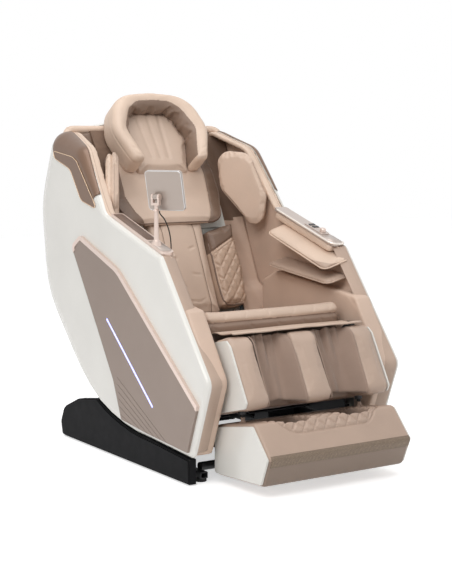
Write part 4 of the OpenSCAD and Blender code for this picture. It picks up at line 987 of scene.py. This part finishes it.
# Knee flap, from the bolster over the gap to the calf pads
path = curve_through([(-360, 462), (-376, 469), (-398, 470), (-420, 469), (-446, 474),
                      (-474, 480), (-486, 478)], 4)
x = np.linspace(-254, 254, 60)
rows = []
for y, z in path:
    wave = 0.5 * np.sin(x / 17) * smoothstep((-y - 380) / 60) + 0.8 * np.sin(x / 61 + 1)
    rows.append([(a / 1000, y / 1000, (z + b) / 1000) for a, b in zip(x, wave)])
flap = sheet_solid("knee_flap", rows, 4)
paint(flap, mat["beige"])
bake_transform(flap)

# Arm linings with their seams
for s, tag in SIDES:
    ob = remesh(cad_copy("arm_lining_soft_" + tag, "arm_lining_" + tag), 6)
    relax(ob, 10)
    ripple(ob, 0.9, 170, 5)
    face = Plane((0, 0, 0), (0, -s, 0), (0, 0, 1))
    seam = curve_through([(s * 395, 520), (s * 330, 566), (s * 200, 590), (s * 60, 612),
                          (s * -60, 640)], 6)
    carve(ob, face, [seam], depth=2.2, width=4)
    place(ob, ["arm_lining_" + tag], ["wall"])

# Forearm flaps: the upper one cream, the lower one tan, each with a piped edge
for ob, tag in ((cuff_l, "left"), (cuff_r, "right")):
    finer(ob)
    split_paint(ob, ["cream", "tan"], lambda c: c[:, 2] < 0.668 + 0.12 * (c[:, 1] + 0.15))
    place(ob, ["arm_cuff_" + tag])


def flap_plane(at, lean, drop):
    r = turned(lean, 0, 0) @ turned(0, drop, 0)
    return Plane(at, r[:, 0], r[:, 1])


UPPER = flap_plane((337.2, -150, 712), degrees(SLOPE), -20)
LOWER = flap_plane((338.4, -150, 628), 6, -14)
for row, plane, reach, key in (("upper", UPPER, 92, "cream"), ("lower", LOWER, 88, "pipe")):
    for (s, tag), y0 in zip(SIDES, (-150, 36)):
        line = resample(rounded([(2, y0, 0), (-reach, y0, 24), (-reach, 205, 24), (2, 205, 0)]), 5)
        pts = soften(plane.lift(line, -6.5) * (s, 1, 1), 2)
        place(tube("cuff_piping_%s_%s" % (row, tag), pts, 2.6), materials=[key])

# Padding under the arm tops, and what lies on them
finer(arm_pad)
for ob in twins(arm_pad):
    place(ob, materials=["cream"])
TRAY = rounded([(-357, 122, 7), (-322, 122, 7), (-322, 358, 5), (-357, 358, 5)])
place(prism("arm_tray", ARM, TRAY, 6.6, 8.2), materials=["tray"])
PATCH = rounded([(-360, 22, 8), (-319, 22, 12), (-319, 112, 6), (-360, 112, 6)])
place(prism("arm_panel", ARM, PATCH, 9.1, 10.0), materials=["panel"])
# A near-white tube along the left arm top's rounded edge: painted highlight.
EDGE = rounded([(362, 346, 0), (306, 346, 4), (306, 2, 26), (362, 2, 14), (362, 20, 0)])[1:-1]
pts = ARM.lift(resample(EDGE, 4), 8.2)
place(tube("arm_edge_left", soften(pts, 2), 4.2, 10), materials=["painted_highlight"])
CAP = rounded([(311, 8, 19), (362, 8, 19), (362, 78, 8), (311, 78, 8)])
place(prism("arm_cap_left", ARM, CAP, 9.1, 10.4), materials=["panel"])

# Leather band down the front edge of each arm, beside the shell
FRONT_RUN = np.array([q for q in SHELL if q[0] < -230 and q[1] > 104])
FRONT_RUN = resample(FRONT_RUN[np.argsort(-FRONT_RUN[:, 1])], 8)
FRONT_RUN = FRONT_RUN[FRONT_RUN[:, 1] > 112]
BAND_X, BAND_WIDE = HW - 62, 52


def front_band():
    rows = []
    for q, m in zip(FRONT_RUN, run_normals(FRONT_RUN)):
        row = []
        for t in np.linspace(0, 1, 14):
            o = q + m * (1.4 - 5 * t ** 6 - 12 * (1 - t) ** 2)
            row.append((BAND_X + BAND_WIDE * t, o[0], o[1]))
        rows.append(np.array(row) / 1000)
    return sheet_solid("front_band_left", rows, 2.0)


for ob in twins(front_band()):
    place(ob, materials=["calf"])

# Padded roll over the hood's back edge, between the side rims
line = [(-330, 470, 1066), (-322, 484, 1088), (-302, 496, 1102)]
line += [(x, 497, 1103) for x in range(-240, 241, 80)]
line += [(302, 496, 1102), (322, 484, 1088), (330, 470, 1066)]
place(tube("hood_back_roll", curve_through(line, 12) / 1000, 15, 14),
      materials=["cream"])

for s, tag in SIDES:
    place(shell_piece("shell_cover_" + tag, "side_shell_" + tag, s),
          ["side_shell_" + tag], materials=["white"])

# Hood rim with its seam, and the bronze panel that wraps the shell's edge beside it
place(soft("hood_rim", 4, 6), ["hood_rim"], ["cream"])
line = TOP_RUN[(TOP_RUN[:, 0] > -230) & (TOP_RUN[:, 0] < 470)]
pts = np.c_[HW - edge_radius(line[:, 0]) - 13, line - run_normals(line) * 2.2] / 1000
for ob in twins(tube("rim_seam_left", soften(pts, 2), 1.3)):
    place(ob, materials=["pipe"])
PROUD = 1.3  # the wrap's face over the shell


def hood_wrap():
    run = TOP_RUN[(TOP_RUN[:, 0] > 158) & (TOP_RUN[:, 0] < 496)]
    rows = []
    for q, m in zip(run, run_normals(run)):
        r = edge_radius(q[0])
        row = []
        for a in np.radians(np.linspace(0, 90, 12)):
            o = q - m * (r * (1 - cos(a)) - PROUD * cos(a))
            row.append((HW - r * (1 - sin(a)) + PROUD * sin(a), o[0], o[1]))
        o = q - m * (r + 10)
        row.append((HW + PROUD, o[0], o[1]))
        rows.append(np.array(row) / 1000)
    return sheet_solid("hood_wrap_left", rows, 1.6)


for ob in twins(hood_wrap()):
    place(ob, materials=["bronze"])
HOOD_PANEL = rounded([(162, 838, 6), (268, 862, 40), (348, 968, 70), (470, 1004, 20),
                      (474, 1028, 5), (332, 1010, 50), (300, 996, 30), (172, 856, 8)])
line = resample(inset(HOOD_PANEL, -0.5), 5, True)
pts = np.c_[np.full(len(line), HW + 2.6), line] / 1000
for ob in twins(tube("hood_edging_left", soften(pts, 1, True), 1.5, 8, True)):
    place(ob, materials=["gold"])

# Calf pads, and the gathered cloth in the two channels
finer(calf)
place(calf, ["calf_pad"], ["calf"], "leg_rest")
FRONT_LINE = curve_through([(-590, 238), (-597, 262), (-600, 286), (-560, 362), (-517, 442),
                            (-500, 458), (-478, 464)], 9)
FLOOR_LINE = curve_through([(-506, 238), (-498, 262), (-489, 286), (-465, 350), (-436, 430),
                            (-432, 448), (-436, 460)], 9)
CHANNEL_X, CHANNEL_WIDE = 47, 148


def calf_lining():
    """Cloth from one lip of the channel over its floor to the other, folded across."""
    steps = min(len(resample(line, 8)) for line in (FRONT_LINE, FLOOR_LINE)) - 1
    front, back = [resample(line, run_of(line)[-1] / steps) for line in (FRONT_LINE, FLOOR_LINE)]
    rows = []
    for i in range(3, min(len(front), len(back))):
        up = i / steps
        row = []
        for t in np.linspace(0, 1, 44):
            deep = 0.05 + 0.72 * (1 - abs(2 * t - 1) ** 2.6)
            fold = (4.4 * sin(t * 30 + 0.6) + 2.6 * sin(t * 53 + 2)) * smoothstep((up - 0.5) / 0.45)
            fold += (7 * sin(t * 11 - up * 2.6 + 0.4) + 2.4 * sin(t * 23 + up * 5)) * sin(pi * t)
            q = front[i] + (back[i] - front[i]) * deep + (0.8 * fold, -0.5 * fold)
            row.append((CHANNEL_X + CHANNEL_WIDE * t, q[0], q[1]))
        rows.append(np.array(row) / 1000)
    return sheet_solid("calf_lining_left", rows, 3)


for ob in twins(calf_lining()):
    place(ob, materials=["lining"], body="leg_rest")

# Foot unit: quilting round the wells, a woven band along the nose, painted shade on the face under
# it
foot = soft("foot_housing", 5, 4)
finer(foot)
AREA = rounded([(-226, -470, 10), (-226, -606, 70), (-150, -664, 80), (150, -664, 80),
                (226, -606, 70), (226, -470, 10)])
quilt(foot, FLAT, AREA, pitch=42, depth=3.6, slope=0.8)
carve(foot, FLAT, [AREA], depth=3.2, width=3.0)


def foot_slot(c):
    """0 on the leather, 1 painted shade under the nose, 2 in the wells, 3 black painted shade on
    the rear top.
    """
    x, y, z = c.T
    well = ((np.abs(np.abs(x) - 0.12) < 0.076) & (y > -0.62) & (y < -0.43)
            & (z < 0.196 + 0.15 * (y + 0.532)) & (z > 0.08))
    return np.select([(z > 0.219) & (y > -0.545), (y < -0.660) & (z < 0.124), well], [3, 1, 2], 0)


# The face under the nose and the sleeves on the rear top are painted shade.
split_paint(foot, ["foot", "shade", "lining", "rubber"], foot_slot)
place(foot, ["foot_housing"], body="foot_rest")
path = curve_through([(-708.5, 139), (-715, 130.5), (-714, 122), (-706.5, 104)], 3)
rows = [[(x / 1000, q[0] / 1000, q[1] / 1000) for x in np.linspace(-268, 268, 80)] for q in path]
place(sheet_solid("nose_band", rows, 2.2), materials=["band"], body="foot_rest")

# Tablet: dark glass on the sitter's side and a bright edge
GLASS_HALF, TABLET_HALF = 59, 64.4
TABLET_R = turned(14, 0, -60)
TABLET_AT = np.array([-345, -180, 748.3]) + turned(0, 0, -60) @ np.array([25, 10, 162])
SCREEN = Plane(TABLET_AT, -TABLET_R[:, 0], TABLET_R[:, 2])


def square(half, r):
    return rounded([(-half, -half, r), (half, -half, r), (half, half, r), (-half, half, r)])


place(prism("tablet_glass", SCREEN, square(GLASS_HALF, 7), 11.05, 12),
      materials=["glass"], body="tablet_head")
line = resample(square(TABLET_HALF, 10), 4, True)
for tag, w in (("back", 0.8), ("front", 10.2)):
    place(tube("tablet_edge_" + tag, SCREEN.lift(line, w), 1.3, 8, True),
          materials=["zip"], body="tablet_head")


# ----- floor, light -----
def background_ray(nt):
    """1 for what shows the background: camera, glossy and transmission rays."""
    path = nt.nodes.new("ShaderNodeLightPath")
    seen = path.outputs["Is Camera Ray"]
    for kind in ("Is Glossy Ray", "Is Transmission Ray"):
        seen = add(nt, "ShaderNodeMath", {0: seen, 1: path.outputs[kind]},
                   operation="MAXIMUM").outputs[0]
    return seen


floor = mesh_object("floor", [(-9, -9, 0), (9, -9, 0), (9, 9, 0), (-9, 9, 0)], [(0, 1, 2, 3)])
m, nt, b, co = tree("floor_white")
feed(nt, b, {"Base Color": (0.86, 0.86, 0.86, 1), "Roughness": 0.9, "Specular IOR Level": 0.1,
             "Emission Color": (1, 1, 1, 1),
             "Emission Strength": ranged(nt, background_ray(nt), 0.0, 0.57)})
paint(floor, m)

world = bpy.data.worlds.new("studio")
scene.world = world
world.use_nodes = True
nt = world.node_tree
nt.nodes.clear()
wo = nt.nodes.new("ShaderNodeOutputWorld")
bg = add(nt, "ShaderNodeBackground", {"Color": (1, 1, 1, 1),
                                      "Strength": ranged(nt, background_ray(nt), 0.5, 1.0)})
nt.links.new(bg.outputs[0], wo.inputs[0])


def lamp(name, at, to, size, watts):
    l = bpy.data.lights.new(name, "AREA")
    l.shape, l.size, l.size_y, l.energy = "RECTANGLE", size[0], size[1], watts
    ob = linked(name, l)
    ob.location = at
    ob.rotation_euler = (Vector(to) - Vector(at)).to_track_quat("-Z", "Y").to_euler()


lamp("key", (-2.7, -2.0, 3.2), (0, 0, 0.7), (2.2, 2.0), 74)
lamp("fill", (3.4, -2.0, 2.2), (0, 0, 0.6), (2.0, 2.4), 9)
lamp("top", (0.0, -0.2, 4.2), (0, 0, 0.5), (2.6, 2.6), 50)
